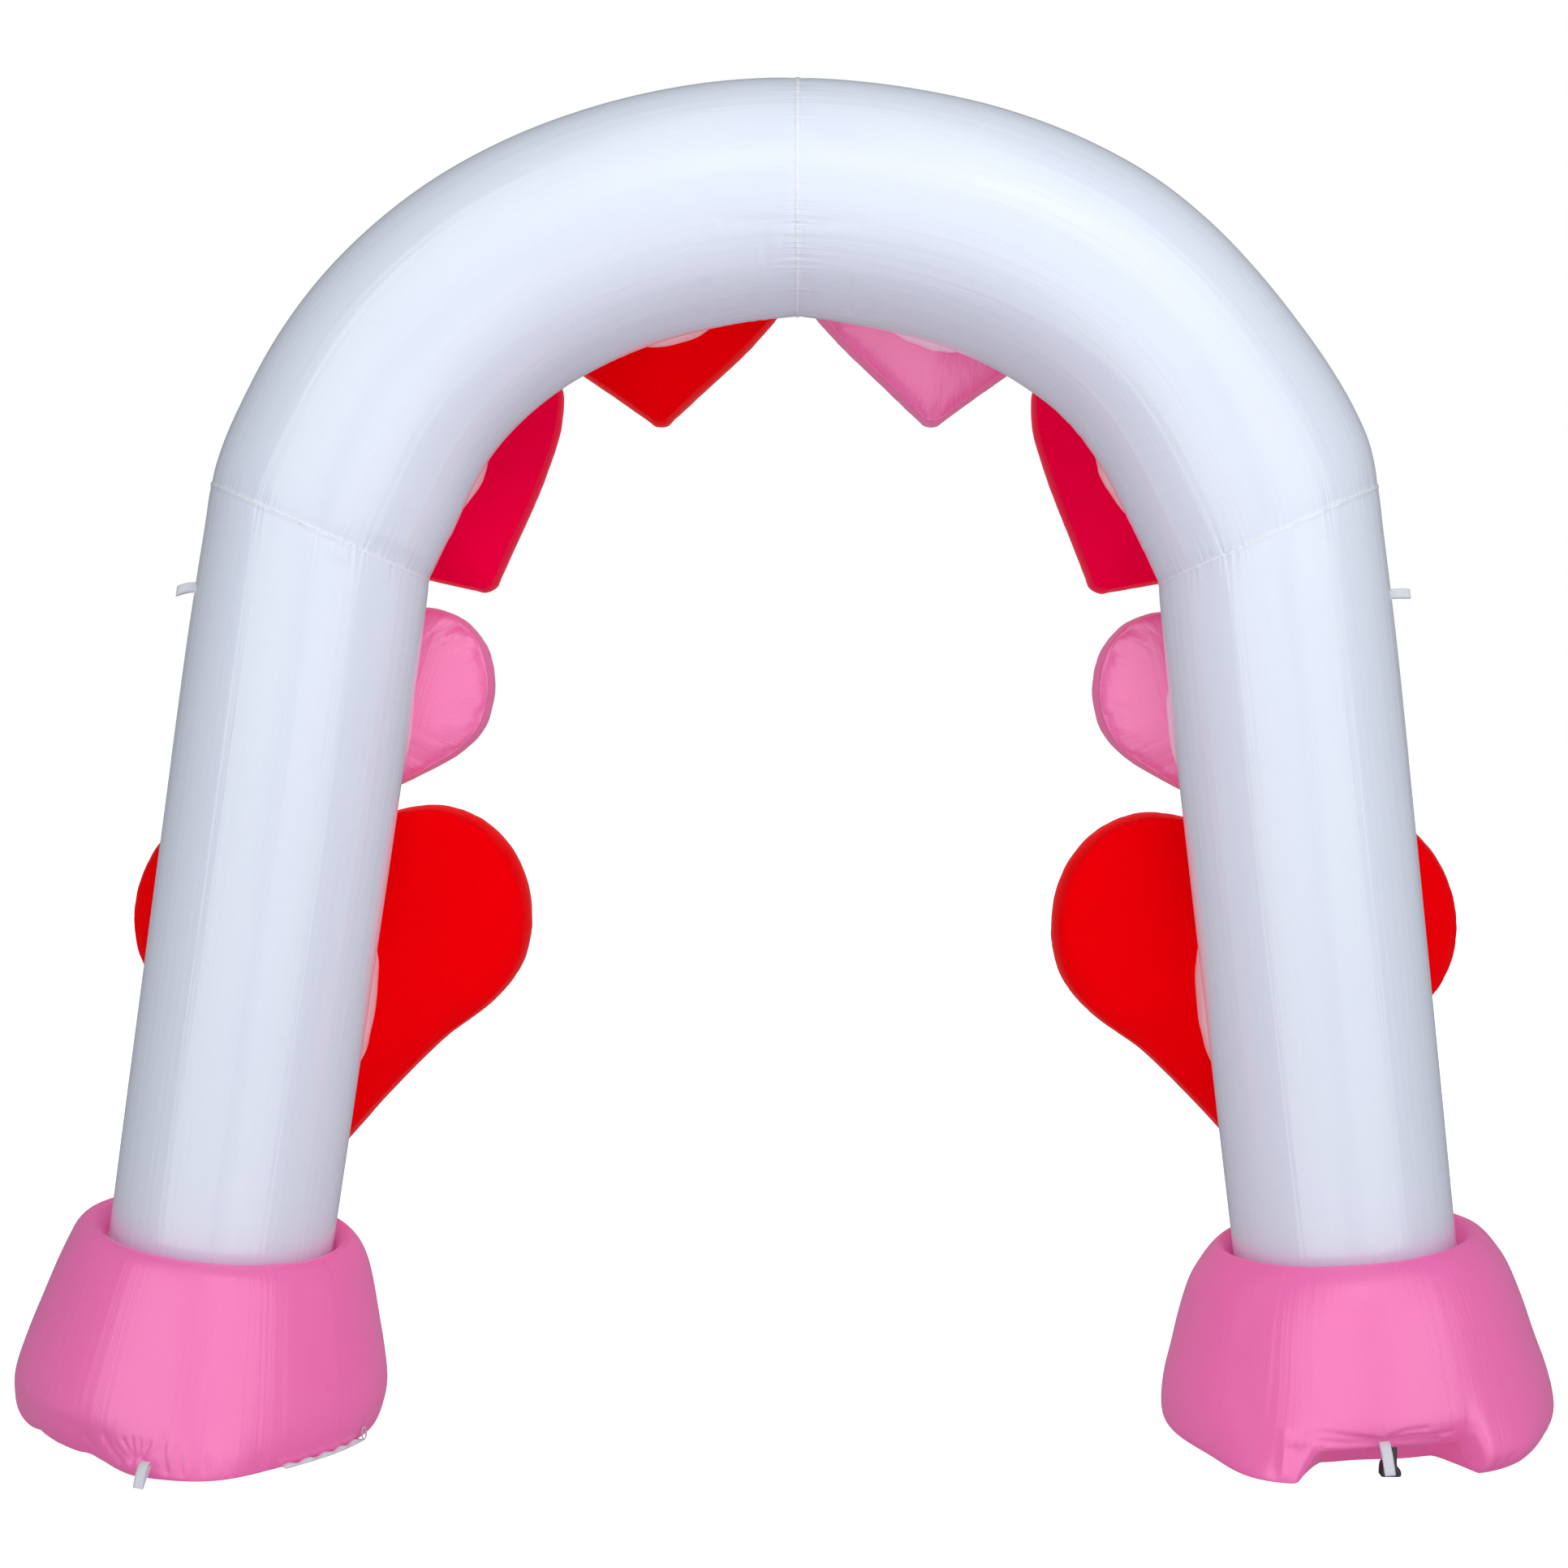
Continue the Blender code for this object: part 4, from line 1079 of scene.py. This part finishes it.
def zip_tape_piece():
    """The strip of zip at the floor seam, slightly waved."""
    steps = 60
    rings = []
    run = [0.0]
    for step in range(steps + 1):
        azimuth = math.radians(mix(ZIP_FROM, ZIP_TO, step / steps))
        point = base_point("left", BASE_ROWS["left"][ZIP_ROW], azimuth)
        edge = Vector((point.x, point.y, 0.0))
        out = Vector((point.x - BASE_FOOT_X["left"], point.y, 0.0)).normalized()
        wave = 0.0024 + 0.0024 * math.sin(step * 0.50)
        start = edge + out * ZIP_REACH + Vector((0.0, 0.0, SEAM_GAP))
        up = Vector((0.0, 0.0, ZIP_TAPE_HEIGHT + wave))
        rings.append([start, start + out * ZIP_TAPE_WIDTH, start + out * ZIP_TAPE_WIDTH + up, start + up])
        if step:
            run.append(run[-1] + (rings[-1][0] - rings[-2][0]).length)

    def weave(row, index):
        return ((0.0, 0.016, 0.018, 0.034, 0.036)[index], run[row])

    ends = [sum(ring, Vector()) / len(ring) for ring in (rings[0], rings[-1])]
    item = add_surface("zip_tape_strip", rings, weave, "white_zip", None, None, (ends[0], ends[1]))
    return item, run[-1]


def zip_pull_piece():
    """The oval pull, a rounded ring that stands on the end of the tape."""
    azimuth = math.radians(ZIP_TO - 1.5)
    point = base_point("left", BASE_ROWS["left"][PULL_ROW], azimuth)
    out = Vector((point.x - BASE_FOOT_X["left"], point.y, 0.0)).normalized()
    middle = Vector((point.x, point.y, 0.0)) + out * (PULL_REACH + PULL_THICKNESS / 2.0)
    out.rotate(Euler((0.0, 0.0, -PULL_TURN)))
    along = Vector((-out.y, out.x, 0.0))
    middle.z = ZIP_TAPE_HEIGHT + 2.0 * SEAM_GAP + PULL_LENGTH / 2.0
    bar = 0.0016
    rings = []
    for turn in turns(48):
        direction = along * math.cos(turn) + Vector((0.0, 0.0, math.sin(turn)))
        rim = middle + along * ((PULL_WIDTH / 2.0 - bar) * math.cos(turn))
        rim += Vector((0.0, 0.0, (PULL_LENGTH / 2.0 - bar) * math.sin(turn)))
        rings.append([rim + direction * (bar * math.cos(around))
                      + out * (PULL_THICKNESS / 2.0 * math.sin(around)) for around in turns(12)])
    rings.append(rings[0])

    def weave(row, index):
        return (index * 0.001, row * 0.001)

    item = add_surface("zip_pull_ring", rings, weave, "clear_pull")
    cleaned = bmesh.new()
    cleaned.from_mesh(item.data)
    bmesh.ops.remove_doubles(cleaned, verts=cleaned.verts, dist=0.00001)
    cleaned.to_mesh(item.data)
    cleaned.free()
    return item


def foot_piece():
    """The boot-shaped rubber foot, with rounded edges."""
    count = len(FOOT_OUTLINE)
    fine = 6
    outline = []
    closed = [Vector((point.x, 0.0, point.z)) for point in FOOT_OUTLINE]
    looped = closed[-1:] + closed + closed[:2]
    for step in range(count * fine):
        outline.append(spline(looped, 1.0 + step / fine))
    for point in outline:
        point.z = max(point.z, 0.0)
    middle = sum(outline, Vector()) / len(outline)
    rings = []
    sections = ((-0.5, 0.84), (-0.46, 0.94), (-0.38, 1.0), (0.0, 1.0), (0.38, 1.0), (0.46, 0.94), (0.5, 0.84))
    for face, shrink in sections:
        ring = []
        for point in outline:
            spot = middle + (point - middle) * shrink
            ring.append(Vector((FOOT_X + spot.x, FOOT_Y + FOOT_DEPTH * face, spot.z)))
        rings.append(ring)

    def weave(row, index):
        return (index * 0.002, row * 0.004)

    half = Vector((0.0, FOOT_DEPTH / 2.0, 0.0))
    centre = Vector((FOOT_X + middle.x, FOOT_Y, middle.z))
    return add_surface("blower_foot_rubber", rings, weave, "black_rubber", None, None,
                       (centre - half, centre + half))


def new_group(name, inputs, outputs):
    """A shader node group with named sockets. Inputs are (name, kind, value)."""
    group = bpy.data.node_groups.new(name, "ShaderNodeTree")
    for label, kind, value in inputs:
        socket = group.interface.new_socket(name=label, in_out="INPUT", socket_type=kind)
        socket.default_value = value
    for label, kind in outputs:
        group.interface.new_socket(name=label, in_out="OUTPUT", socket_type=kind)
    group.nodes.new("NodeGroupInput")
    group.nodes.new("NodeGroupOutput")
    return group


def add_node(tree, kind, **settings):
    """Add a node and set its properties."""
    node = tree.nodes.new(kind)
    for key, value in settings.items():
        setattr(node, key, value)
    return node


def math_node(tree, operation, first, second=None):
    """Add a Math node fed by sockets or numbers."""
    node = add_node(tree, "ShaderNodeMath", operation=operation)
    for index, value in enumerate((first, second)):
        if value is None:
            continue
        if isinstance(value, (int, float)):
            node.inputs[index].default_value = value
        else:
            tree.links.new(value, node.inputs[index])
    return node.outputs[0]


def weave_group():
    """Plain weave: fine threads both ways, thicker threads, long streaks and slight unevenness."""
    group = new_group("plain_weave", [("Thread", "NodeSocketFloat", 420.0)],
                      [("Height", "NodeSocketFloat"), ("Tone", "NodeSocketFloat"),
                       ("Streak", "NodeSocketFloat")])
    source = group.nodes["Group Input"]
    target = group.nodes["Group Output"]
    place = add_node(group, "ShaderNodeUVMap", uv_map="weave")
    split = add_node(group, "ShaderNodeSeparateXYZ")
    group.links.new(place.outputs["UV"], split.inputs[0])
    waves = []
    for axis in ("X", "Y"):
        scaled = math_node(group, "MULTIPLY", split.outputs[axis], source.outputs["Thread"])
        waves.append(math_node(group, "SINE", scaled))
    threads = math_node(group, "MULTIPLY", waves[0], waves[1])
    uneven = add_node(group, "ShaderNodeTexNoise")
    uneven.inputs["Scale"].default_value = 26.0
    uneven.inputs["Detail"].default_value = 3.0
    group.links.new(place.outputs["UV"], uneven.inputs["Vector"])
    slubs = []
    for stretch in ((9.0, 420.0, 1.0), (420.0, 9.0, 1.0)):
        mapping = add_node(group, "ShaderNodeMapping")
        mapping.inputs["Scale"].default_value = stretch
        group.links.new(place.outputs["UV"], mapping.inputs["Vector"])
        slub = add_node(group, "ShaderNodeTexNoise")
        slub.inputs["Scale"].default_value = 1.0
        slub.inputs["Detail"].default_value = 2.0
        group.links.new(mapping.outputs[0], slub.inputs["Vector"])
        slubs.append(slub.outputs["Fac"])
    long_way = add_node(group, "ShaderNodeMapping")
    long_way.inputs["Scale"].default_value = (70.0, 0.9, 1.0)
    group.links.new(place.outputs["UV"], long_way.inputs["Vector"])
    streak = add_node(group, "ShaderNodeTexNoise")
    streak.inputs["Scale"].default_value = 1.0
    streak.inputs["Detail"].default_value = 2.0
    group.links.new(long_way.outputs[0], streak.inputs["Vector"])
    group.links.new(streak.outputs["Fac"], target.inputs["Streak"])
    slub_sum = math_node(group, "ADD", slubs[0], slubs[1])
    half_threads = math_node(group, "MULTIPLY", threads, 0.25)
    height = math_node(group, "ADD", half_threads, slub_sum)
    group.links.new(height, target.inputs["Height"])
    tone_sum = math_node(group, "ADD", slub_sum, uneven.outputs["Fac"])
    tone = math_node(group, "MULTIPLY", tone_sum, 0.3333)
    group.links.new(tone, target.inputs["Tone"])
    return group


def pucker_group():
    """Short creases that run away from a seam, from the mesh's own seam attribute."""
    group = new_group("seam_puckers", [("Spacing", "NodeSocketFloat", 105.0), ("Length", "NodeSocketFloat", 0.035)],
                      [("Height", "NodeSocketFloat"), ("Line", "NodeSocketFloat"), ("Near", "NodeSocketFloat"),
                       ("Grey", "NodeSocketFloat")])
    source = group.nodes["Group Input"]
    target = group.nodes["Group Output"]
    seam = add_node(group, "ShaderNodeAttribute", attribute_name="seam")
    split = add_node(group, "ShaderNodeSeparateXYZ")
    group.links.new(seam.outputs["Vector"], split.inputs[0])
    distance = split.outputs["X"]
    shortened = math_node(group, "DIVIDE", distance, source.outputs["Length"])
    negative = math_node(group, "MULTIPLY", shortened, -1.0)
    near = math_node(group, "EXPONENT", negative)
    along = math_node(group, "MULTIPLY", split.outputs["Y"], source.outputs["Spacing"])
    across = math_node(group, "MULTIPLY", distance, 6.0)
    place = add_node(group, "ShaderNodeCombineXYZ")
    group.links.new(along, place.inputs["X"])
    group.links.new(across, place.inputs["Y"])
    creases = add_node(group, "ShaderNodeTexNoise")
    creases.inputs["Scale"].default_value = 1.0
    creases.inputs["Detail"].default_value = 2.5
    group.links.new(place.outputs[0], creases.inputs["Vector"])
    centred = math_node(group, "SUBTRACT", creases.outputs["Fac"], 0.5)
    height = math_node(group, "MULTIPLY", centred, near)
    group.links.new(height, target.inputs["Height"])
    # Painted highlight: a narrow band along the seam itself, where the cloth takes its paler seam colour in place
    # of light on the seam's ridge.
    narrow = math_node(group, "DIVIDE", distance, 0.0016)
    squared = math_node(group, "POWER", narrow, 2.0)
    flipped = math_node(group, "MULTIPLY", squared, -1.0)
    painted_seam_highlight = math_node(group, "EXPONENT", flipped)
    group.links.new(painted_seam_highlight, target.inputs["Line"])
    group.links.new(near, target.inputs["Near"])
    group.links.new(split.outputs["Z"], target.inputs["Grey"])
    return group


# One row for each finish: its light and dark colour and its paler colour along a seam's ridge, a painted highlight,
# its roughness, the strength and tint of its gloss, and the strength of a painted glow (emission) that stands in
# for light coming through the thin cloth.
Finish = namedtuple("Finish", "name light dark seam roughness gloss tint glow")
WHITE = (1.0, 1.0, 1.0)
RED = (1.0, 0.02, 0.02)
FINISHES = [
    Finish("white_taffeta", (0.83, 0.88, 0.96), (0.75, 0.80, 0.90), (0.97, 0.98, 1.0), 0.15, 0.75, WHITE, 0.02),
    Finish("pink_taffeta", (1.0, 0.185, 0.51), (0.92, 0.145, 0.44), (0.98, 0.36, 0.62), 0.30, 0.95, WHITE, 0.08),
    Finish("red_taffeta", (0.98, 0.0, 0.003), (0.78, 0.0, 0.002), (0.90, 0.0, 0.006), 0.24, 0.03, RED, 0.13),
    Finish("rose_taffeta", (0.96, 0.180, 0.45), (0.84, 0.14, 0.38), (0.98, 0.34, 0.60), 0.26, 0.9, WHITE, 0.13),
    Finish("crimson_taffeta", (0.96, 0.0, 0.055), (0.76, 0.0, 0.042), (0.90, 0.0, 0.055), 0.24, 0.03, RED, 0.15),
]


def taffeta(finish, weave, puckers):
    """Coated taffeta: a fine weave under a soft sheen, with puckers at the seams."""
    material = bpy.data.materials.new(finish.name + "_cloth")
    CLOTHS[finish.name] = material
    material.use_nodes = True
    tree = material.node_tree
    shader = tree.nodes["Principled BSDF"]
    cloth = add_node(tree, "ShaderNodeGroup", node_tree=weave)
    seams = add_node(tree, "ShaderNodeGroup", node_tree=puckers)
    place = add_node(tree, "ShaderNodeTexCoord")
    cloud = add_node(tree, "ShaderNodeTexNoise")
    cloud.inputs["Scale"].default_value = 3.0
    cloud.inputs["Detail"].default_value = 3.0
    tree.links.new(place.outputs["Object"], cloud.inputs["Vector"])
    tone = math_node(tree, "MULTIPLY", cloth.outputs["Tone"], 0.6)
    cloud_part = math_node(tree, "MULTIPLY", cloud.outputs["Fac"], 0.5)
    tone = math_node(tree, "ADD", tone, cloud_part)
    # Painted shade: the cloth's tone darkens near a seam, where it dips beside the ridge.
    painted_seam_shade = math_node(tree, "MULTIPLY", seams.outputs["Near"], 0.12)
    tone = math_node(tree, "SUBTRACT", tone, painted_seam_shade)
    tone = math_node(tree, "SUBTRACT", tone, seams.outputs["Grey"])
    ramp = add_node(tree, "ShaderNodeMix", data_type="RGBA")
    ramp.inputs[6].default_value = (*finish.dark, 1.0)
    ramp.inputs[7].default_value = (*finish.light, 1.0)
    tree.links.new(tone, ramp.inputs[0])
    # Painted highlight: along the seam's ridge the colour blends towards the finish's paler seam colour.
    sewn = add_node(tree, "ShaderNodeMix", data_type="RGBA")
    sewn.inputs[7].default_value = (*finish.seam, 1.0)
    tree.links.new(seams.outputs["Line"], sewn.inputs[0])
    tree.links.new(ramp.outputs[2], sewn.inputs[6])
    tree.links.new(sewn.outputs[2], shader.inputs["Base Color"])
    shader.inputs["Roughness"].default_value = finish.roughness
    shader.inputs["Specular IOR Level"].default_value = finish.gloss
    shader.inputs["Specular Tint"].default_value = (*finish.tint, 1.0)
    # Painted glow: a weak emission in the cloth's light colour stands in for light coming through the thin cloth.
    shader.inputs["Emission Color"].default_value = (*finish.light, 1.0)
    shader.inputs["Emission Strength"].default_value = finish.glow
    fine = add_node(tree, "ShaderNodeBump")
    fine.inputs["Strength"].default_value = 0.25
    fine.inputs["Distance"].default_value = 0.0006
    tree.links.new(cloth.outputs["Height"], fine.inputs["Height"])
    streaked = add_node(tree, "ShaderNodeBump")
    streaked.inputs["Strength"].default_value = 1.0
    streaked.inputs["Distance"].default_value = 0.0011
    tree.links.new(cloth.outputs["Streak"], streaked.inputs["Height"])
    tree.links.new(fine.outputs["Normal"], streaked.inputs["Normal"])
    creased = add_node(tree, "ShaderNodeBump")
    creased.inputs["Strength"].default_value = 0.7
    creased.inputs["Distance"].default_value = 0.004
    tree.links.new(seams.outputs["Height"], creased.inputs["Height"])
    tree.links.new(streaked.outputs["Normal"], creased.inputs["Normal"])
    tree.links.new(creased.outputs["Normal"], shader.inputs["Normal"])
    return material


def plain_material(name, colour, roughness, weave=None):
    """A finish for the small trim, woven where a weave group is given."""
    material = bpy.data.materials.new(name + "_trim")
    CLOTHS[name] = material
    material.use_nodes = True
    tree = material.node_tree
    shader = tree.nodes["Principled BSDF"]
    shader.inputs["Roughness"].default_value = roughness
    mixer = add_node(tree, "ShaderNodeMix", data_type="RGBA")
    mixer.inputs[6].default_value = (*[value * 0.72 for value in colour], 1.0)
    mixer.inputs[7].default_value = (*colour, 1.0)
    bump = add_node(tree, "ShaderNodeBump")
    bump.inputs["Distance"].default_value = 0.0008
    if weave is None:
        place = add_node(tree, "ShaderNodeTexCoord")
        grain = add_node(tree, "ShaderNodeTexNoise")
        grain.inputs["Scale"].default_value = 260.0
        tree.links.new(place.outputs["Object"], grain.inputs["Vector"])
        height = grain.outputs["Fac"]
        bump.inputs["Strength"].default_value = 0.25
    else:
        cloth = add_node(tree, "ShaderNodeGroup", node_tree=weave)
        cloth.inputs["Thread"].default_value = 2600.0
        height = cloth.outputs["Height"]
        bump.inputs["Strength"].default_value = 0.8
    tree.links.new(height, mixer.inputs[0])
    tree.links.new(height, bump.inputs["Height"])
    tree.links.new(mixer.outputs[2], shader.inputs["Base Color"])
    tree.links.new(bump.outputs["Normal"], shader.inputs["Normal"])
    return material


def make_materials():
    """All finishes of the arch."""
    weave = weave_group()
    puckers = pucker_group()
    for finish in FINISHES:
        taffeta(finish, weave, puckers)
    plain_material("white_webbing", (0.84, 0.86, 0.90), 0.55, weave)
    plain_material("white_zip", (0.86, 0.85, 0.90), 0.45, weave)
    plain_material("black_rubber", (0.015, 0.015, 0.016), 0.42)
    pull = plain_material("clear_pull", (0.86, 0.84, 0.86), 0.22)
    pull.node_tree.nodes["Principled BSDF"].inputs["Transmission Weight"].default_value = 0.55


AMBIENT_STRENGTH = 0.40
FLOOR_REACH = 200.0
# One row for each soft box: where it stands, what it faces, its size and power.
SoftBox = namedtuple("SoftBox", "name place aim width height power colour")
SOFT_BOXES = [
    SoftBox("high", (0.8, -3.9, 4.5), (0.1, 0.0, 2.2), 3.0, 1.2, 88.0, (0.97, 0.99, 1.0)),
    SoftBox("front_left", (-2.7, -5.3, 1.9), (0.0, 0.0, 1.5), 2.6, 3.6, 30.0, (0.99, 0.99, 1.0)),
    SoftBox("front_middle", (0.4, -6.0, 1.9), (0.0, 0.0, 1.5), 2.4, 3.6, 16.0, (0.99, 1.0, 1.0)),
    SoftBox("front_right", (3.9, -4.6, 1.9), (0.0, 0.0, 1.5), 3.4, 3.6, 27.0, (0.98, 0.99, 1.0)),
    SoftBox("far", (0.0, 5.0, 3.8), (0.0, 0.0, 1.2), 3.5, 2.0, 90.0, (1.0, 1.0, 1.0)),
]
# How bright the surroundings look in the cloth's gloss: round the arch, in degrees from
# the camera's side towards +X, and by the height of the direction, from -1 to 1.
Glint = namedtuple("Glint", "place share")
ROUND_GLINTS = [
    Glint(-180.0, 0.12),
    Glint(-57.0, 0.12),
    Glint(-50.0, 1.00),
    Glint(-6.0, 0.90),
    Glint(-1.0, 0.55),
    Glint(6.0, 0.55),
    Glint(11.0, 1.00),
    Glint(46.0, 0.90),
    Glint(62.0, 0.12),
    Glint(180.0, 0.12),
]
HEIGHT_GLINTS = [
    Glint(-1.00, 0.20),
    Glint(-0.75, 0.40),
    Glint(-0.35, 0.90),
    Glint(0.10, 1.00),
    Glint(0.60, 0.90),
    Glint(0.95, 0.45),
    Glint(1.00, 0.35),
]
GLINT_STRENGTH = 1.9


def add_area(box):
    """Hang one soft box."""
    lamp = bpy.data.lights.new(box.name, "AREA")
    lamp.shape = "RECTANGLE"
    lamp.size = box.width
    lamp.size_y = box.height
    lamp.energy = box.power
    lamp.color = box.colour
    item = bpy.data.objects.new(box.name, lamp)
    item.location = box.place
    item.rotation_euler = (Vector(box.aim) - Vector(box.place)).to_track_quat("-Z", "Y").to_euler()
    item.visible_glossy = False
    bpy.context.scene.collection.objects.link(item)


def glint_ramp(tree, glints, place):
    """A brightness that follows a table of places and shares."""
    first = glints[0].place
    whole = glints[-1].place - first
    moved = math_node(tree, "SUBTRACT", place, first)
    position = math_node(tree, "DIVIDE", moved, whole)
    ramp = add_node(tree, "ShaderNodeValToRGB")
    tree.links.new(position, ramp.inputs[0])
    stops = ramp.color_ramp.elements
    for glint in glints[1:-1]:
        stops.new((glint.place - first) / whole)
    for stop, glint in zip(stops, glints):
        stop.color = (glint.share, glint.share, glint.share, 1.0)
    return ramp.outputs["Color"]


def make_world():
    """Soft lavender light from all round. The camera sees it as plain white."""
    world = bpy.data.worlds.new("studio")
    world.use_nodes = True
    tree = world.node_tree
    ambient = tree.nodes["Background"]
    ambient.inputs["Color"].default_value = (0.90, 0.93, 1.0, 1.0)
    ambient.inputs["Strength"].default_value = AMBIENT_STRENGTH
    seen = add_node(tree, "ShaderNodeBackground")
    seen.inputs["Strength"].default_value = 1.0
    seen.inputs["Color"].default_value = (1.0, 1.0, 1.0, 1.0)
    direction = add_node(tree, "ShaderNodeTexCoord")
    split = add_node(tree, "ShaderNodeSeparateXYZ")
    tree.links.new(direction.outputs["Generated"], split.inputs[0])
    towards = math_node(tree, "MULTIPLY", split.outputs["Y"], -1.0)
    azimuth = math_node(tree, "ARCTAN2", split.outputs["X"], towards)
    degrees = math_node(tree, "DEGREES", azimuth)
    around = glint_ramp(tree, ROUND_GLINTS, degrees)
    upwards = glint_ramp(tree, HEIGHT_GLINTS, split.outputs["Z"])
    share = math_node(tree, "MULTIPLY", around, upwards)
    gloss = add_node(tree, "ShaderNodeBackground")
    gloss.inputs["Color"].default_value = (0.95, 0.98, 1.0, 1.0)
    tree.links.new(math_node(tree, "MULTIPLY", share, GLINT_STRENGTH), gloss.inputs["Strength"])
    path = add_node(tree, "ShaderNodeLightPath")
    reflected = add_node(tree, "ShaderNodeMixShader")
    tree.links.new(path.outputs["Is Glossy Ray"], reflected.inputs[0])
    tree.links.new(ambient.outputs[0], reflected.inputs[1])
    tree.links.new(gloss.outputs[0], reflected.inputs[2])
    chooser = add_node(tree, "ShaderNodeMixShader")
    tree.links.new(path.outputs["Is Camera Ray"], chooser.inputs[0])
    tree.links.new(reflected.outputs[0], chooser.inputs[1])
    tree.links.new(seen.outputs[0], chooser.inputs[2])
    tree.links.new(chooser.outputs[0], tree.nodes["World Output"].inputs["Surface"])
    bpy.context.scene.world = world


def make_floor():
    """A pale paper floor. The cloth's gloss shows the surroundings through it."""
    mesh = bpy.data.meshes.new("studio_floor")
    mesh.from_pydata([(-FLOOR_REACH, -FLOOR_REACH, 0.0), (FLOOR_REACH, -FLOOR_REACH, 0.0),
                      (FLOOR_REACH, FLOOR_REACH, 0.0), (-FLOOR_REACH, FLOOR_REACH, 0.0)], [], [(0, 1, 2, 3)])
    paper = bpy.data.materials.new("paper")
    paper.use_nodes = True
    shader = paper.node_tree.nodes["Principled BSDF"]
    shader.inputs["Base Color"].default_value = (0.44, 0.42, 0.48, 1.0)
    shader.inputs["Roughness"].default_value = 0.9
    shader.inputs["Specular IOR Level"].default_value = 0.1
    shader.inputs["Emission Color"].default_value = (1.0, 1.0, 1.0, 1.0)
    path = add_node(paper.node_tree, "ShaderNodeLightPath")
    seen = math_node(paper.node_tree, "MULTIPLY", path.outputs["Is Camera Ray"], 0.75)
    glow = math_node(paper.node_tree, "ADD", seen, 0.30)
    paper.node_tree.links.new(glow, shader.inputs["Emission Strength"])
    unseen = add_node(paper.node_tree, "ShaderNodeBsdfTransparent")
    chooser = add_node(paper.node_tree, "ShaderNodeMixShader")
    paper.node_tree.links.new(path.outputs["Is Glossy Ray"], chooser.inputs[0])
    paper.node_tree.links.new(shader.outputs[0], chooser.inputs[1])
    paper.node_tree.links.new(unseen.outputs[0], chooser.inputs[2])
    paper.node_tree.links.new(chooser.outputs[0], paper.node_tree.nodes["Material Output"].inputs["Surface"])
    mesh.materials.append(paper)
    floor = bpy.data.objects.new("studio_floor", mesh)
    bpy.context.scene.collection.objects.link(floor)


def make_camera():
    """The photograph's level camera, behind the arch."""
    view = bpy.data.cameras.new("camera")
    view.sensor_width = SENSOR
    view.lens = FOCAL_PIXELS * SENSOR / PHOTO_SIDE
    view.shift_x = (PHOTO_SIDE / 2.0 - AXIS_PIXEL[0]) / PHOTO_SIDE
    view.shift_y = (AXIS_PIXEL[1] - PHOTO_SIDE / 2.0) / PHOTO_SIDE
    camera = bpy.data.objects.new("camera", view)
    camera.location = SHIFT + Vector((0.0, -CAMERA_DISTANCE, CAMERA_HEIGHT))
    camera.rotation_euler = (math.radians(90.0), 0.0, 0.0)
    bpy.context.scene.collection.objects.link(camera)
    bpy.context.scene.camera = camera


def make_stage():
    """Floor, surroundings, soft boxes and camera."""
    bpy.context.scene.view_settings.view_transform = "Standard"
    make_world()
    make_floor()
    for lamp in SOFT_BOXES:
        add_area(lamp)
    make_camera()


def dress(item, node, slot):
    """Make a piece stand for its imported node."""
    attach(item, "root")
    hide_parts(node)


def build():
    """Make every visible piece."""
    make_materials()
    for side in ("left", "right"):
        for part, maker, slot in (("crown_", crown_piece, "white_taffeta"), ("leg_", leg_piece, "white_taffeta"),
                                  ("base_", base_piece, "pink_taffeta")):
            item = maker(side)
            dress(item, part + side, slot)
        for part, maker in (("loop_leg_", leg_loop), ("loop_base_", base_loop)):
            item, length = maker(side)
            dress(item, part + side, "white_webbing")
    for heart, place in zip(HEARTS, SLEEVES):
        item = heart_piece(heart)
        dress(item, "heart_" + heart.name, HEART_CLOTH[heart.name])
        sleeve = sleeve_piece(heart.name, place)
        dress(sleeve, "sleeve_" + heart.name, "white_taffeta")
    tape, length = zip_tape_piece()
    dress(tape, "zip_tape", "white_zip")
    dress(zip_pull_piece(), "zip_pull", "clear_pull")
    dress(foot_piece(), "blower_foot", "black_rubber")
    sewing = stitch_tree()
    for slot, runs in SEAM_RUNS.items():
        stitch_piece(slot.split("_")[0] + "_stitches", slot, sewing, runs)
    make_stage()


build()
